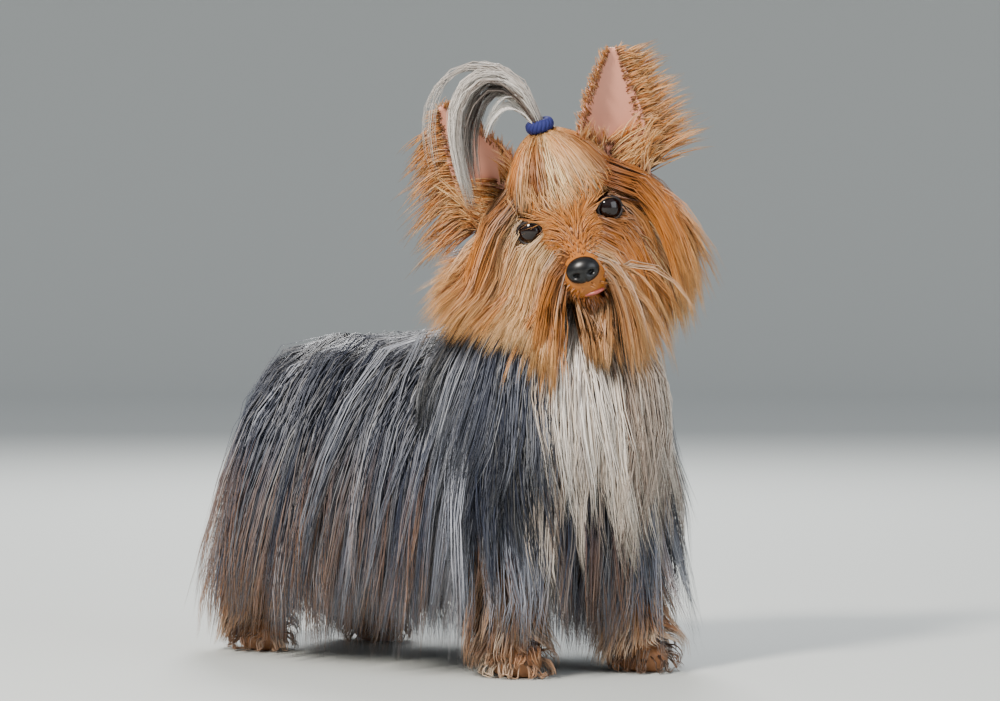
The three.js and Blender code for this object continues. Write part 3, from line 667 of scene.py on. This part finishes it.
# Mane round the neck, over the shoulders and down the chest as the apron
mane = {"guides": 560, "perGuide": 12, "spread": 7.5, "strand": 1.1, "reach": 178, "hem": 14, "longest": 176,
        "wave": 6, "fall": 0.3}
pairs = spreadOut(mane["guides"])
turn = np.radians(mane["reach"] * (2 * pairs[:, 1] - 1))
height = 0.02 + 0.72 * pairs[:, 0]
centre = np.array(withers) + (nape - np.array(withers)) * height[:, None]
ray = vectors(np.cos(turn), np.sin(turn), 0.1)
roots = skinPoints(throat, centre, unit(ray))
outs = outward(throat, roots)
flank = np.abs(np.sin(turn))
front = np.clip(np.cos(turn), 0, 1)
lie = vectors(ray[:, 0] * 0.7, ray[:, 1] * 1.4, -0.9) + rng.normal(0, 0.1, (len(turn), 3))
drop = roots[:, 2] - mane["hem"] - 30 * waves(roots, 15, 15)
length = np.minimum(drop * (1 - 0.4 * rng.uniform(0, 1, len(turn)) ** 1.5), mane["longest"] - 30 * flank)
clear = 3 + 7 * height + rng.uniform(0, 5, len(turn))
bend = vectors(0, -0.13 * front * np.sign(ray[:, 1]), 0)
paths, faces = grown(roots, outs, lie, length, maneForm, mane["fall"], clear, 6 + 8 * flank, bend)
paths = swayed(paths, mane["wave"], 16)
strands, outs, owner = clumped(paths, faces, mane, wave=1.6)
rootOf = roots[owner]
edge = 0.62 + 0.25 * height + rng.normal(0, 0.12, len(turn))
blue = (np.abs(turn) > edge)[owner]
manePieces = (("mane_shoulders", blueLook, blue, "fur_blue", 0.4),
              ("mane_chest", creamLook, ~blue, "fur_cream", 0.75))
for name, look, pick, slotName, shine in manePieces:
    m = int(pick.sum())
    # Painted shade on the apron: its deep brown, in random locks and in waves, stands for the shadow between
    # the locks; on the shoulders the same marks give darker navy locks
    brown = (rng.uniform(0, 1, len(roots)) < 0.22)[owner[pick]]
    # Painted highlight: the band of sheen down the shoulder, on the side facing the camera
    streak = 0.8 * paintedShoulderSheen(strands[pick]) * (strands[pick, 3, 1] < -20)
    streak = streak * rng.uniform(0.3, 1, m) + shine * waves(rootOf[pick], 7, 5) ** 2
    shades = {"tone": clumpTones(owner[pick]),
              "pale": np.clip(streak, 0, 0.9),
              "deep": np.clip(0.7 * waves(rootOf[pick], 9, 6) ** 2 + 0.45 * brown, 0, 0.9)}
    strandPiece(name, look, strands[pick], outs[pick], mane["strand"], bodyUv(rootOf[pick]), shades, slotName)
print("mane done")

# Feathering of the legs, down over the paws
feather = {"guides": 165, "perGuide": 8, "spread": 5, "strand": 1.1, "shortest": 15, "longest": 62, "wave": 3,
           "fall": 0.28}
for name, leg in legs.items():
    pairs = spreadOut(feather["guides"])
    turn = 2 * np.pi * pairs[:, 1]
    high = 8 + 100 * pairs[:, 0] ** 1.2
    spine = np.array(leg["spine"])
    order = np.argsort(spine[:, 2])
    centre = vectors(*[np.interp(high, spine[order, 2], spine[order, i]) for i in (0, 1)], high)
    ray = vectors(np.cos(turn), np.sin(turn), 0)
    roots = skinPoints(leg["form"], centre, ray)
    outs = outward(leg["form"], roots)
    lie = ray * 0.6 + np.array([0, 0, -1]) + rng.normal(0, 0.15, ray.shape)
    length = np.clip(high * 0.98, feather["shortest"], feather["longest"]) * rng.uniform(0.8, 1.1, len(high))
    clear = 2.5 + rng.uniform(0, 3, len(high))
    rise = np.clip(high * 0.22, 3, 12)
    paths, faces = grown(roots, outs, lie, length, leg["form"], feather["fall"], clear, rise)
    paths = swayed(paths, feather["wave"], 18)
    strands, outs, owner = clumped(paths, faces, feather, gather=0.45)
    shades = {"tone": clumpTones(owner),
              "pale": 0.8 * waves(roots[owner], 6, 8) ** 2,
              "deep": 0.8 * waves(roots[owner], 7, 9) ** 2}
    strandPiece(name + "_hair", legLook, strands, outs, feather["strand"], bodyUv(roots[owner]), shades,
                "fur_tan")
print("legs done")

# Plume of the tail
plume = {"guides": 60, "perGuide": 9, "spread": 5, "strand": 1.3, "length": 52, "fall": 0.35}
pairs = spreadOut(plume["guides"])
turn = 2 * np.pi * pairs[:, 1]
centre = np.array(tailBend) + (np.array(tailTip) - np.array(tailBend)) * pairs[:, :1]
ray = vectors(np.cos(turn), np.sin(turn), 0.1)
roots = skinPoints(dock, centre, unit(ray))
lie = ray * 0.5 + np.array([-0.2, 0, -1])
length = plume["length"] * rng.uniform(0.8, 1.1, len(turn))
paths, faces = grown(roots, outward(dock, roots), lie, length, dock, plume["fall"], 2, 4)
strands, outs, owner = clumped(paths, faces, plume)
n = len(owner)
shades = {"tone": clumpTones(owner),
          "pale": 0.3 * rng.uniform(0, 1, n),
          "deep": 0.3 * rng.uniform(0, 1, n),
          "warm": rng.uniform(0, 1, n)}
strandPiece("tail_plume", blueLook, strands, outs, plume["strand"], bodyUv(roots[owner]), shades, "fur_blue")
print("tail done")


def ballPiece(name, centre, radii, segments=48):  # an egg in the head's own frame, its poles fore and aft
    bpy.ops.mesh.primitive_uv_sphere_add(segments=segments, ring_count=segments // 2)
    piece = bpy.context.object
    piece.name = piece.data.name = name
    co = pointsOf(piece)[:, [2, 1, 0]] * np.array(radii) + np.array(centre)
    piece.data.vertices.foreach_set("co", toFrame(onHead(co)).ravel())
    piece.data.flip_normals()
    piece.data.update()
    piece.data.shade_smooth()
    return piece


# Eyes
eyeLook = Look("Eye", Base_Color=colour((24, 12, 8)), Roughness=0.12, Specular_IOR_Level=0.35,
               Coat_Weight=0.35)
for at, name in zip(eyeMiddles, ("left", "right")):
    ball = ballPiece(f"eyeball_{name}", at, (eyeRadius, eyeRadius, eyeRadius))
    worn(ball, "eye_brown", [eyeLook], f"eye_{name}")

# Skin of the head, darker round the eyes with painted shade in their sockets
headSpine = onHead([(-14, 0, 2), (8, 0, -6), (34, 0, -24), (52, 0, -30)])
headSkin = meshPiece("head_skin", *loft(carvedHead, headSpine, 80, 110, fan=16))
remeshed(headSkin, 0.0009)
worn(headSkin, "fur_tan", [tanLook], "head")


# Painted shade: how much the skin is darkened in and round the eye sockets
def socketShadowOnSkin(p):
    return np.clip(1.1 - np.abs(sockets((p - headAt) @ headAxes) + 0.5) / 3.5, 0, 1)


marked(headSkin, deep=lambda p: np.clip(0.25 + socketShadowOnSkin(p), 0, 1))

# Lids: a dark rim round each eye
lidLook = Look("Lids", Base_Color=colour((30, 20, 18)), Roughness=0.5)
lid = {"wide": 1.45, "high": 1.12, "off": 0.25, "radius": 0.85}
for at, name, side in zip(eyeMiddles, ("left", "right"), (1, -1)):
    look = unit(np.array([1, 0.28 * side, -0.02]))
    acrossEye = unit(np.cross([0, 0, 1], look))
    upEye = np.cross(look, acrossEye)
    a = np.linspace(0, 2 * np.pi, 64, endpoint=False)[:, None]
    ring = unit(look + acrossEye * lid["wide"] * np.cos(a) + upEye * lid["high"] * np.sin(a))
    ring = ring * (eyeRadius + lid["off"])
    rim = meshPiece(f"lid_rim_{name}", *closedTube(at + ring, lid["radius"], 10, unit(ring), wider=1.3))
    worn(rim, "nose_leather", [lidLook])

# Nose leather, with nostrils and the groove between them
noseLook = Look("Nose", Base_Color=colour((12, 11, 12)), Roughness=0.34)
noseBall = ballPiece("nose_leather", noseInHead, (7, 10, 8), 96)
local = (pointsOf(noseBall) * 1000 - frameShift - headAt) @ headAxes
for side in (1, -1):
    d = (local - noseInHead - [5.6, 4.4 * side, -1.4]) / [3, 2.2, 1.5]
    local[:, 0] -= 3.2 * np.exp(-np.sum(d ** 2, -1))
groove = np.exp(-(local[:, 1] / 0.7) ** 2) * (local[:, 2] < noseInHead[2]) * (local[:, 0] > noseInHead[0])
local[:, 0] -= 0.7 * groove
noseBall.data.vertices.foreach_set("co", toFrame(onHead(local)).ravel())
noseBall.data.update()
worn(noseBall, "nose_leather", [noseLook], "nose")

# Lower lip
lipLook = Look("Lip", Base_Color=colour((176, 92, 88)), Roughness=0.35)
lipAt = np.array([60.5, 2, -37])
lip = ballPiece("lower_lip", lipAt, (4.5, 6.5, 1.8))
worn(lip, "nose_leather", [lipLook])
print("face done")


def clearOfEyes(paths):  # hair parts round each eye
    q = (paths - headAt) @ headAxes
    for at, side in zip(eyeMiddles, (1, -1)):
        view = unit(np.array([1, 0.1 * side, 0]))
        v = q - at
        ahead = v @ view
        aside = v - ahead[..., None] * view
        far = np.linalg.norm(aside / [1, 1, 0.9], axis=-1)
        push = np.clip(eyeOpening - far, 0, eyeOpening) * (ahead > 0)
        q = q + aside / np.maximum(far, 1e-6)[..., None] * push[..., None]
    return onHead(q)


def headHair(name, piece, roots, rays, lie, length, clear, rise, pale, deep):
    skinAt = skinPoints(headForm, onHead(roots), headWay(unit(rays)))
    outs = outward(headForm, skinAt)
    count = len(roots)
    lie = headWay(lie) + rng.normal(0, 0.1, (count, 3))
    length = length * rng.uniform(0.85, 1.1, count)
    clear = clear + rng.uniform(0, 2.5, count)
    paths, faces = grown(skinAt, outs, lie, length, overAll, piece["fall"], clear, rise)
    strands, outs, owner = clumped(paths, faces, piece)
    n = len(owner)
    shades = {"tone": clumpTones(owner, 0.11),
              "pale": np.clip(pale[owner] * rng.uniform(0.5, 1.3, n), 0, 1),
              "deep": np.clip(deep[owner] * rng.uniform(0.4, 1.3, n), 0, 1)}
    strandPiece(name, tanLook, clearOfEyes(strands), outs, piece["strand"], headUv(skinAt[owner]), shades,
                "fur_tan")


# Cheeks: long locks from under the eyes back to behind the ears
cheek = {"guides": 305, "perGuide": 11, "spread": 5.5, "strand": 0.95, "fall": 0.33}
for side, name in ((1, "left"), (-1, "right")):
    pairs = spreadOut(cheek["guides"])
    back = pairs[:, 1]
    up = 0.96 * pairs[:, 0]
    at = vectors(-24 + 42 * back, 8.0 * side, -24 + 52 * up)
    rays = vectors(-0.6 + 1.05 * back, side, 0.1 * up)
    lie = vectors(-0.5 + 0.7 * back, side * (0.9 + 1.1 * up), -0.4 + 0.3 * up)
    headHair(f"cheek_{name}", cheek, at, rays, lie, length=72 + 36 * up, clear=2 + 6 * up, rise=12 + 15 * up,
             pale=0.75 * waves(at, 8, 21 + side) ** 2, deep=0.8 * waves(at, 9, 31 + side) ** 3)

# Moustache
moustache = {"guides": 146, "perGuide": 13, "spread": 3.2, "strand": 0.8, "fall": 0.4}
for side, name in ((1, "left"), (-1, "right")):
    pairs = spreadOut(moustache["guides"])
    on = pairs[:, 0]
    at = vectors(26 + 29 * on, 3.0 * side, -12 - 14 * pairs[:, 1])
    rays = vectors(0.5 * on, side, 1.0 - 1.3 * pairs[:, 1] - 0.5 * on)
    lie = np.tile([0.12, 1.05 * side, -0.35], (len(on), 1))
    headHair(f"moustache_{name}", moustache, at, rays, lie, length=73 + 5 * on, clear=2.5, rise=14 - 5 * on,
             pale=0.5 * waves(at, 5, 41 + side) ** 2, deep=0.9 * waves(at, 6, 51 + side) ** 2)

# Beard
beard = {"guides": 90, "perGuide": 12, "spread": 3.6, "strand": 0.85, "fall": 0.4}
pairs = spreadOut(beard["guides"])
wide = 2 * pairs[:, 1] - 1
at = vectors(18 + 36 * pairs[:, 0], 9 * wide, -38.0)
headHair("beard", beard, at, vectors(0.3, 0.8 * wide, -1.0), vectors(0.4, 0.4 * wide, -1.0), length=42.0,
         clear=1.5, rise=5, pale=0.4 * waves(at, 6, 61), deep=0.15 + 0.5 * waves(at, 6, 62))

# Back of the head
backHair = {"guides": 130, "perGuide": 9, "spread": 6, "strand": 1.2, "fall": 0.3}
pairs = spreadOut(backHair["guides"])
wide = 2 * pairs[:, 1] - 1
at = vectors(-10.0, 14 * wide, 2 + 22 * pairs[:, 0])
rays = vectors(-1.0, 1.3 * wide, 0.1 + 0.9 * pairs[:, 0])
headHair("head_back", backHair, at, rays, vectors(-1.0, 1.0 * wide, -0.4), length=76.0, clear=3, rise=10,
         pale=0.3 * waves(at, 9, 71), deep=0.5 * waves(at, 9, 72))

# Short fur of the face, lying away from the nose
faceFur = {"guides": 2600, "perGuide": 3, "spread": 1.5, "strand": 0.62, "shortest": 4.5, "longest": 15}
bandAt = np.array([5.0, -1.0, 55.0])
i = np.arange(faceFur["guides"])
swing = math.pi * (3 - math.sqrt(5)) * i
high = 1 - 1.86 * (i + 0.5) / faceFur["guides"]
level = np.sqrt(1 - high ** 2)
aim = vectors(level * np.cos(swing), level * np.sin(swing), high)
aim = aim[aim[:, 0] > -0.15]
inside = np.repeat([[22.0, 0, -14]], len(aim), 0)
at = (skinPoints(headForm, onHead(inside), headWay(aim)) - headAt) @ headAxes
at = at[(sockets(at) > 0.8) & (np.linalg.norm((at - noseInHead) / [8, 10.5, 9], axis=-1) > 1.05)]
at = at[np.linalg.norm((at - lipAt - [0, 0, 2]) / [9, 7.5, 5], axis=-1) > 1]
start = onHead(at)
bridge = np.exp(-(at[:, 1] / 11) ** 2) * np.clip((at[:, 2] + 26) / 14, 0, 1)
flow = vectors(-0.5, np.sign(at[:, 1]), -0.45) * (1 - bridge[:, None])
flow += vectors(-0.9, at[:, 1] / 22, 0.8) * bridge[:, None]
low = np.clip((-30 - at[:, 2]) / 10, 0, 1)[:, None]
flow = flow * (1 - low) + vectors(0, at[:, 1] / 20, -1) * low
upper = np.clip((at[:, 2] - 3) / 8, 0, 1)[:, None]
flow = unit(flow) * (1 - upper) + unit(bandAt - at) * upper
flow += rng.normal(0, 0.12, flow.shape)
length = 4 + 0.34 * (np.linalg.norm(at - noseInHead, axis=-1) - 10)
length = np.clip(length, faceFur["shortest"], faceFur["longest"])
paths, faces = grown(start, outward(headForm, start), headWay(flow), length, headForm, fall=0.05, clear=0.5,
                     rise=1.6, sink=0.4, steps=3)
strands, outs, owner = clumped(paths, faces, faceFur, gather=0.3, wave=0.15, depth=0.2)
n = len(owner)
q = at[owner]
stripe = np.exp(-(q[:, 1] / 7) ** 2) * np.clip((q[:, 2] - 4) / 10, 0, 1)
# Painted shade: fur darkened in and round the eye sockets, and drawn less pale there
socketShadowOnFur = np.clip(1 - sockets(q) / 3, 0, 1)
# Painted shade: fur darkened under the nose, over the lip and chin
shadowUnderNose = np.exp(-(q[:, 1] / 9) ** 2) * np.clip((-30 - q[:, 2]) / 5, 0, 1)
brow = np.exp(-((q[:, 2] - 14) / 7) ** 2)
shades = {"tone": np.clip(rng.normal(0.52, 0.1, n), 0, 1),
          "pale": np.clip((0.7 * stripe + 0.3 * brow) * (1 - socketShadowOnFur) * rng.uniform(0.3, 1.3, n), 0, 1),
          "deep": np.clip(0.15 * rng.uniform(0, 1, n) + 0.7 * socketShadowOnFur + 0.6 * shadowUnderNose, 0, 1)}
strandPiece("face_fur", tanLook, clearOfEyes(strands), outs, faceFur["strand"], headUv(start[owner]), shades,
            "fur_tan")

# Forelock: from the brow and temples up to the band
crown = {"guides": 370, "perGuide": 9, "spread": 3.4, "strand": 0.85, "arch": 0.13, "off": 1.6}
pairs = spreadOut(crown["guides"])
angle = 2 * np.pi * pairs[:, 1]
reach = np.sqrt(0.12 + 0.88 * pairs[:, 0])
aim = vectors(0.9 * np.cos(angle) * reach + 0.05, 1.1 * np.sin(angle) * reach, 0.18 + 0.6 * (1 - reach))
inside = np.repeat([[2.0, 0, 6]], len(aim), 0)
start = skinPoints(headForm, onHead(inside), headWay(unit(aim)))
local = (start - headAt) @ headAxes
keep = (local[:, 2] > 4) & (sockets(local) > 1.5)
local, start = local[keep], start[keep]
end = onHead(bandAt + rng.normal(0, 1.6, (len(start), 3)) * [1, 1, 0.3])
t = np.linspace(0, 1, hairSteps + 1)[None, :, None]
lift = outward(headForm, (start + end) / 2)
span = np.linalg.norm(end - start, axis=-1)[:, None, None]
paths = start[:, None] * (1 - t) + end[:, None] * t + lift[:, None] * np.sin(np.pi * t) * span * crown["arch"]
for _ in range(4):
    flat = paths.reshape(-1, 3)
    short = np.maximum(crown["off"] - headForm(flat), 0)
    paths = (flat + outward(headForm, flat) * short[:, None]).reshape(paths.shape)
paths[:, 0] = start - outward(headForm, start)
faces = outward(headForm, paths.reshape(-1, 3)).reshape(paths.shape)
strands, outs, owner = clumped(paths, faces, crown, gather=0.55, shorter=0.06)
n = len(owner)
q = local[owner]
stripe = np.exp(-(q[:, 1] / 7) ** 2) * (q[:, 0] > 5)
shades = {"tone": clumpTones(owner, 0.06),
          "pale": np.clip(stripe * rng.uniform(0.3, 1.1, n) + 0.4 * waves(q, 5, 82) ** 2, 0, 1),
          "deep": np.clip(0.5 * waves(q, 5, 81) ** 2 + 0.8 * (rng.uniform(0, 1, n) < 0.3) * stripe, 0, 1)}
strandPiece("forelock", tanLook, clearOfEyes(strands), outs, crown["strand"], headUv(start[owner]), shades,
            "fur_tan")
print("head hair done")

# Hair band: a braided navy loop
bandLook = Look("Band", Base_Color=colour((26, 32, 92)), Roughness=0.8)
band = {"radius": 5.8, "braid": 1.4, "cord": 1.6, "crossings": 6}
a = np.linspace(0, 2 * np.pi, 96, endpoint=False)
bandParts = []
for i in range(3):
    twist = band["crossings"] * a + 2 * np.pi * i / 3
    out = band["radius"] + band["braid"] * np.cos(twist)
    line = vectors(out * np.cos(a), out * np.sin(a), 2.4 + 2.2 * np.sin(twist)) + bandAt
    bandParts.append(closedTube(line, band["cord"], 12))
bandLoop = meshPiece("band_loop", *joined(bandParts))
worn(bandLoop, "band_navy", [bandLook], "hair_band")


# Topknot: from the band up, over and down before the dog's right ear
def smoothLine(points, count):
    k = np.linspace(0, len(points) - 1, count)
    i = np.clip(k.astype(int), 0, len(points) - 2)
    u = (k - i)[:, None]
    near = [points[np.clip(i + j, 0, len(points) - 1)] for j in (-1, 0, 1, 2)]
    return 0.5 * (2 * near[1] + (near[2] - near[0]) * u
                  + (2 * near[0] - 5 * near[1] + 4 * near[2] - near[3]) * u ** 2
                  + (3 * near[1] - near[0] - 3 * near[2] + near[3]) * u ** 3)


# The topknot's deep brown is mostly painted shadow, worn by the inside layer under the arc
knotLook = furLook("Topknot", root=(74, 50, 36), body=(190, 178, 166), pale=(246, 240, 232),
                   deep=(58, 40, 30), tip=(228, 220, 210))
knots = {
    "hair": {"guides": 52, "perGuide": 13, "loose": (2.2, 1.2, 1.1), "pale": 0.65, "deep": 0.25,
             "line": [(5, -1, 50), (6, -4, 80), (8, -20, 97), (13, -41, 89), (20, -51, 62), (26, -53, 24)]},
    # The inside layer is painted shadow: dark hair under the arc, where the inner side of the topknot lies in
    # shade
    "inside": {"guides": 26, "perGuide": 11, "loose": (3.4, 2.0, 2.4), "pale": 0.1, "deep": 0.8,
               "line": [(5, -1, 50), (6, -5, 74), (8, -18, 90), (12, -36, 80), (18, -46, 56), (22, -48, 34)]},
    "wisp": {"guides": 6, "perGuide": 6, "loose": (2.0, 2.0, 2.0), "pale": 0.4, "deep": 0.4,
             "line": [(5, -1, 50), (4, -2, 84), (4, -24, 105), (6, -50, 99), (12, -64, 72), (14, -66, 44)]},
    "tuft": {"guides": 10, "perGuide": 10, "loose": (3.0, 1.6, 2.0), "pale": 0.9, "deep": 0.0,
             "line": [(6, -1, 52), (8, -6, 70), (10, -15, 78), (12, -26, 72), (14, -33, 62)]},
}
for name, knot in knots.items():
    line = smoothLine(np.array(knot["line"], float), hairSteps + 5)
    t = np.linspace(0, 1, len(line))[None, :, None]
    opening = 0.35 + 1.2 * np.sin(np.pi * t * 0.75)
    paths = onHead(line[None] + rng.normal(0, 1, (knot["guides"], 1, 3)) * knot["loose"] * opening)
    faces = np.broadcast_to(unit(headWay(np.array([0.3, -0.5, 0.8]))), paths.shape)
    strands, outs, owner = clumped(paths, faces, {"spread": 2.2, **knot}, gather=0.3, shorter=0.2, wave=0.8)
    n = len(owner)
    shades = {"tone": clumpTones(owner),
              "pale": knot["pale"] * rng.uniform(0.4, 1.4, n).clip(0, 1),
              "deep": (knot["deep"] * rng.uniform(0.4, 1.4, n)).clip(0, 1)}
    uv = 0.1 + 0.8 * rng.uniform(0, 1, (n, 2))
    strandPiece(f"topknot_{name}", knotLook, strands, outs, 0.8, uv, shades, "fur_cream",
                *(["topknot"] if name == "hair" else []))

# Ears: cupped leaves, with a fringe along their edges
ears = {
    "left": {"base": (-8, 30, 14), "tip": (-12, 54, 87.5),
             "face": (0.92, 0.25, -0.1), "blown": (0, 1, 0.25)},
    "right": {"base": (-8, -33, 11), "tip": (-12, -55, 84.5),
              "face": (0.92, -0.3, 0), "blown": (0, -0.8, -0.5)},
}
earWidth = 45
earSkin = 1.1  # half its thickness
earFringe = {"perGuide": 3, "spread": 2.0, "strand": 0.75}
rows, columns = 30, 25
earLook = Look("Ear skin", Base_Color=colour((196, 134, 112)), Roughness=0.55)
earBack = Look("Ear back", Base_Color=colour((150, 88, 42)), Roughness=0.8)

# Hair on the ear's back, over its outer and inner edges, blown off its outer edge, and in its lower cup
earHair = {
    "back": {"count": 360, "u": (-0.95, 0.95), "v": (0, 0.95), "face": 1, "length": (12, 9),
             "rise": 0.7, "away": 0.1, "proud": 0.3},
    "outer": {"count": 170, "u": (0.62, 1), "v": (0, 0.97), "face": -1, "length": (22, 11),
              "rise": 0.55, "away": 0.9, "proud": 0.5},
    "inner": {"count": 170, "u": (-1, -0.62), "v": (0, 0.97), "face": -1, "length": (17, 10),
              "rise": 0.6, "away": 0.8, "proud": 0.5},
    "fringe": {"count": 200, "u": (0.8, 1), "v": (0.02, 0.9), "face": 1, "length": (44, 22),
               "rise": 0.45, "away": 1.2, "proud": 0.0},
    "cup": {"count": 220, "u": (-1, 1), "v": (-0.1, 0.24), "face": -1, "length": (32, 24),
            "rise": 0.8, "away": 0.45, "proud": 0.5},
}


def leafPoint(ear, u, v, offset):
    base, tip, face = (np.array(ear[k], float) for k in ("base", "tip", "face"))
    up = tip - base
    high = unit(up)
    opening = unit(face - high * (face @ high))
    aside = np.cross(high, opening)
    half = earWidth / 2 * np.maximum(0, 1 - v) ** 0.62 * (1 + 0.25 * np.sin(np.pi * v))
    bow = np.radians(72 - 36 * v)
    r = half / np.sin(bow)
    across = (r + offset) * np.sin(u * bow)
    deep = r * np.cos(bow) * 0.6 - (r + offset) * np.cos(u * bow) + r * 0.4
    return base + up * v[..., None] + aside * across[..., None] + opening * deep[..., None]


def earFace(*corners):  # each corner as its row, column and sheet
    earFaces.append(tuple((sheet * rows + r) * columns + c for r, c, sheet in corners))


earFaces = []
end, side = rows - 1, columns - 1
for r in range(end):
    for c in range(side):
        earFace((r, c, 0), (r, c + 1, 0), (r + 1, c + 1, 0), (r + 1, c, 0))
        earFace((r, c, 1), (r + 1, c, 1), (r + 1, c + 1, 1), (r, c + 1, 1))
    earFace((r, 0, 0), (r + 1, 0, 0), (r + 1, 0, 1), (r, 0, 1))
    earFace((r + 1, side, 0), (r, side, 0), (r, side, 1), (r + 1, side, 1))
for c in range(side):
    earFace((0, c + 1, 0), (0, c, 0), (0, c, 1), (0, c + 1, 1))
    earFace((end, c, 0), (end, c + 1, 0), (end, c + 1, 1), (end, c, 1))

for name, ear in ears.items():
    v, u = np.meshgrid(np.linspace(-0.1, 0.985, rows), np.linspace(-1, 1, columns), indexing="ij")
    sheets = [leafPoint(ear, u, v, off).reshape(-1, 3) for off in (earSkin, -earSkin)]
    shell = meshPiece(f"ear_shell_{name}", onHead(np.concatenate(sheets)), earFaces)
    worn(shell, "fur_tan", [earLook, earBack], f"ear_{name}")
    onBack = [max(face) < rows * columns for face in earFaces]
    shell.data.polygons.foreach_set("material_index", np.array(onBack, np.int32))

    up = unit(np.array(ear["tip"], float) - np.array(ear["base"], float))
    span = leafPoint(ear, np.array([-1.0, 1.0]), np.array([0.4, 0.4]), 0)
    outerSide = np.sign((span[1] - span[0])[1] * ear["base"][1])
    allPaths, allOuts, places, inCup = [], [], [], []
    for kind, tuft in earHair.items():
        n = tuft["count"]
        u = rng.uniform(*tuft["u"], n) * outerSide
        v = tuft["v"][0] + (tuft["v"][1] - tuft["v"][0]) * spreadOut(n)[:, 0]
        start = leafPoint(ear, u, v, 1.0 * tuft["face"])
        out = unit(start - leafPoint(ear, u, v, -1.0 * tuft["face"]))
        aside = unit(span[1] - span[0]) * np.sign(u)[:, None]
        if kind == "fringe":
            aside = np.array(ear["blown"], float)
        way = unit(up * tuft["rise"] + out * tuft["proud"] + aside * tuft["away"])
        way = way + rng.normal(0, 0.12, (n, 3))
        length = tuft["length"][0] + (tuft["length"][1] - tuft["length"][0]) * v
        length = length * rng.uniform(0.6, 1.15, n)
        t = np.linspace(0, 1, 5)[None, :, None]
        droop = np.array([0, 0, -0.3]) * t ** 2
        allPaths.append(onHead(start[:, None] + length[:, None, None] * (way[:, None] * t + droop)))
        allOuts.append(np.repeat(headWay(out)[:, None], 5, 1))
        places.append(np.stack([0.1 + 0.8 * (u * 0.5 + 0.5), 0.1 + 0.85 * v], -1))
        inCup.append(np.full(n, kind == "cup"))
    strands, outs, owner = clumped(np.concatenate(allPaths), np.concatenate(allOuts), earFringe, gather=0.5,
                                   wave=0.5)
    n = len(owner)
    cup = np.concatenate(inCup)[owner]
    shades = {"tone": clumpTones(owner, 0.07),
              "pale": 0.5 * rng.uniform(0, 1, n) ** 2 * (1 + cup),
              "deep": np.clip(0.4 * rng.uniform(0, 1, n) * ~cup, 0, 1)}
    strandPiece(f"ear_fringe_{name}", tanLook, strands, outs, earFringe["strand"],
                np.concatenate(places)[owner], shades, "fur_tan", thin=0.6)
print("ears done")

# Camera
shot = {"target": (19.55, 26.29, 192.36), "turn": 45, "raised": 1.42, "distance": 2344, "lens": 135}
turnTo = math.radians(shot["turn"])
raised = math.radians(shot["raised"])
ahead = np.array([-math.sin(turnTo) * math.cos(raised), math.cos(turnTo) * math.cos(raised),
                  -math.sin(raised)])
camera = placed("Camera", bpy.data.cameras.new("Camera"))
aimed(camera, toFrame(np.array(shot["target"]) - ahead * shot["distance"]), ahead)
camera.data.lens = shot["lens"]
camera.data.sensor_width = 36
camera.data.clip_start = 0.05
bpy.context.scene.camera = camera

# A floor that rises far off into a low round wall, in metres
stage = {"floor": (1.5, 3, 4.5), "wall": 1.5, "sides": 96, "shade": (0.5, 0.52, 0.5, 1)}
sides = stage["sides"]
edge = stage["floor"][-1]
profile = [(r, 0) for r in stage["floor"]]
profile += [(edge + stage["wall"] * math.sin(a), stage["wall"] * (1 - math.cos(a)))
            for a in np.linspace(0.1, math.pi / 2, 16)]
around = np.linspace(0, 2 * np.pi, sides, endpoint=False)
stagePoints = [(r * math.cos(a), r * math.sin(a), z) for r, z in profile for a in around]
stageFaces = [tuple(range(sides))]
for r in range(len(profile) - 1):
    here, there = r * sides, (r + 1) * sides
    for s in range(sides):
        after = (s + 1) % sides
        stageFaces.append((here + s, there + s, there + after, here + after))
floorMesh = bpy.data.meshes.new("Floor")
floorMesh.from_pydata(stagePoints, [], stageFaces)
floorMesh.shade_smooth()
floor = placed("Floor", floorMesh)
floorLook = Look("Floor", Base_Color=stage["shade"], Roughness=0.8)
floor.data.materials.append(floorLook.material)

# Soft lamps, all aimed at the middle of the dog
lamps = {
    "Key": {"place": (0.5, -1.9, 1.8), "power": 125, "size": 0.35, "shade": (1, 0.94, 0.86)},
    "Fill": {"place": (2.2, 0.2, 0.9), "power": 26, "size": 1.6, "shade": (0.9, 0.95, 1)},
    "Rim": {"place": (-1.4, 1.3, 1.6), "power": 60, "size": 0.7, "shade": (1, 1, 1)},
}
for name, lamp in lamps.items():
    light = placed(name, bpy.data.lights.new(name, "AREA"))
    light.data.energy = lamp["power"]
    light.data.size = lamp["size"]
    light.data.color = lamp["shade"]
    aimed(light, lamp["place"], Vector((0, 0, 0.2)) - Vector(lamp["place"]))
world = bpy.data.worlds.new("World")
bpy.context.scene.world = world
world.use_nodes = True
sky = world.node_tree.nodes["Background"]
sky.inputs["Color"].default_value = (0.82, 0.87, 0.95, 1)
sky.inputs["Strength"].default_value = 0.6
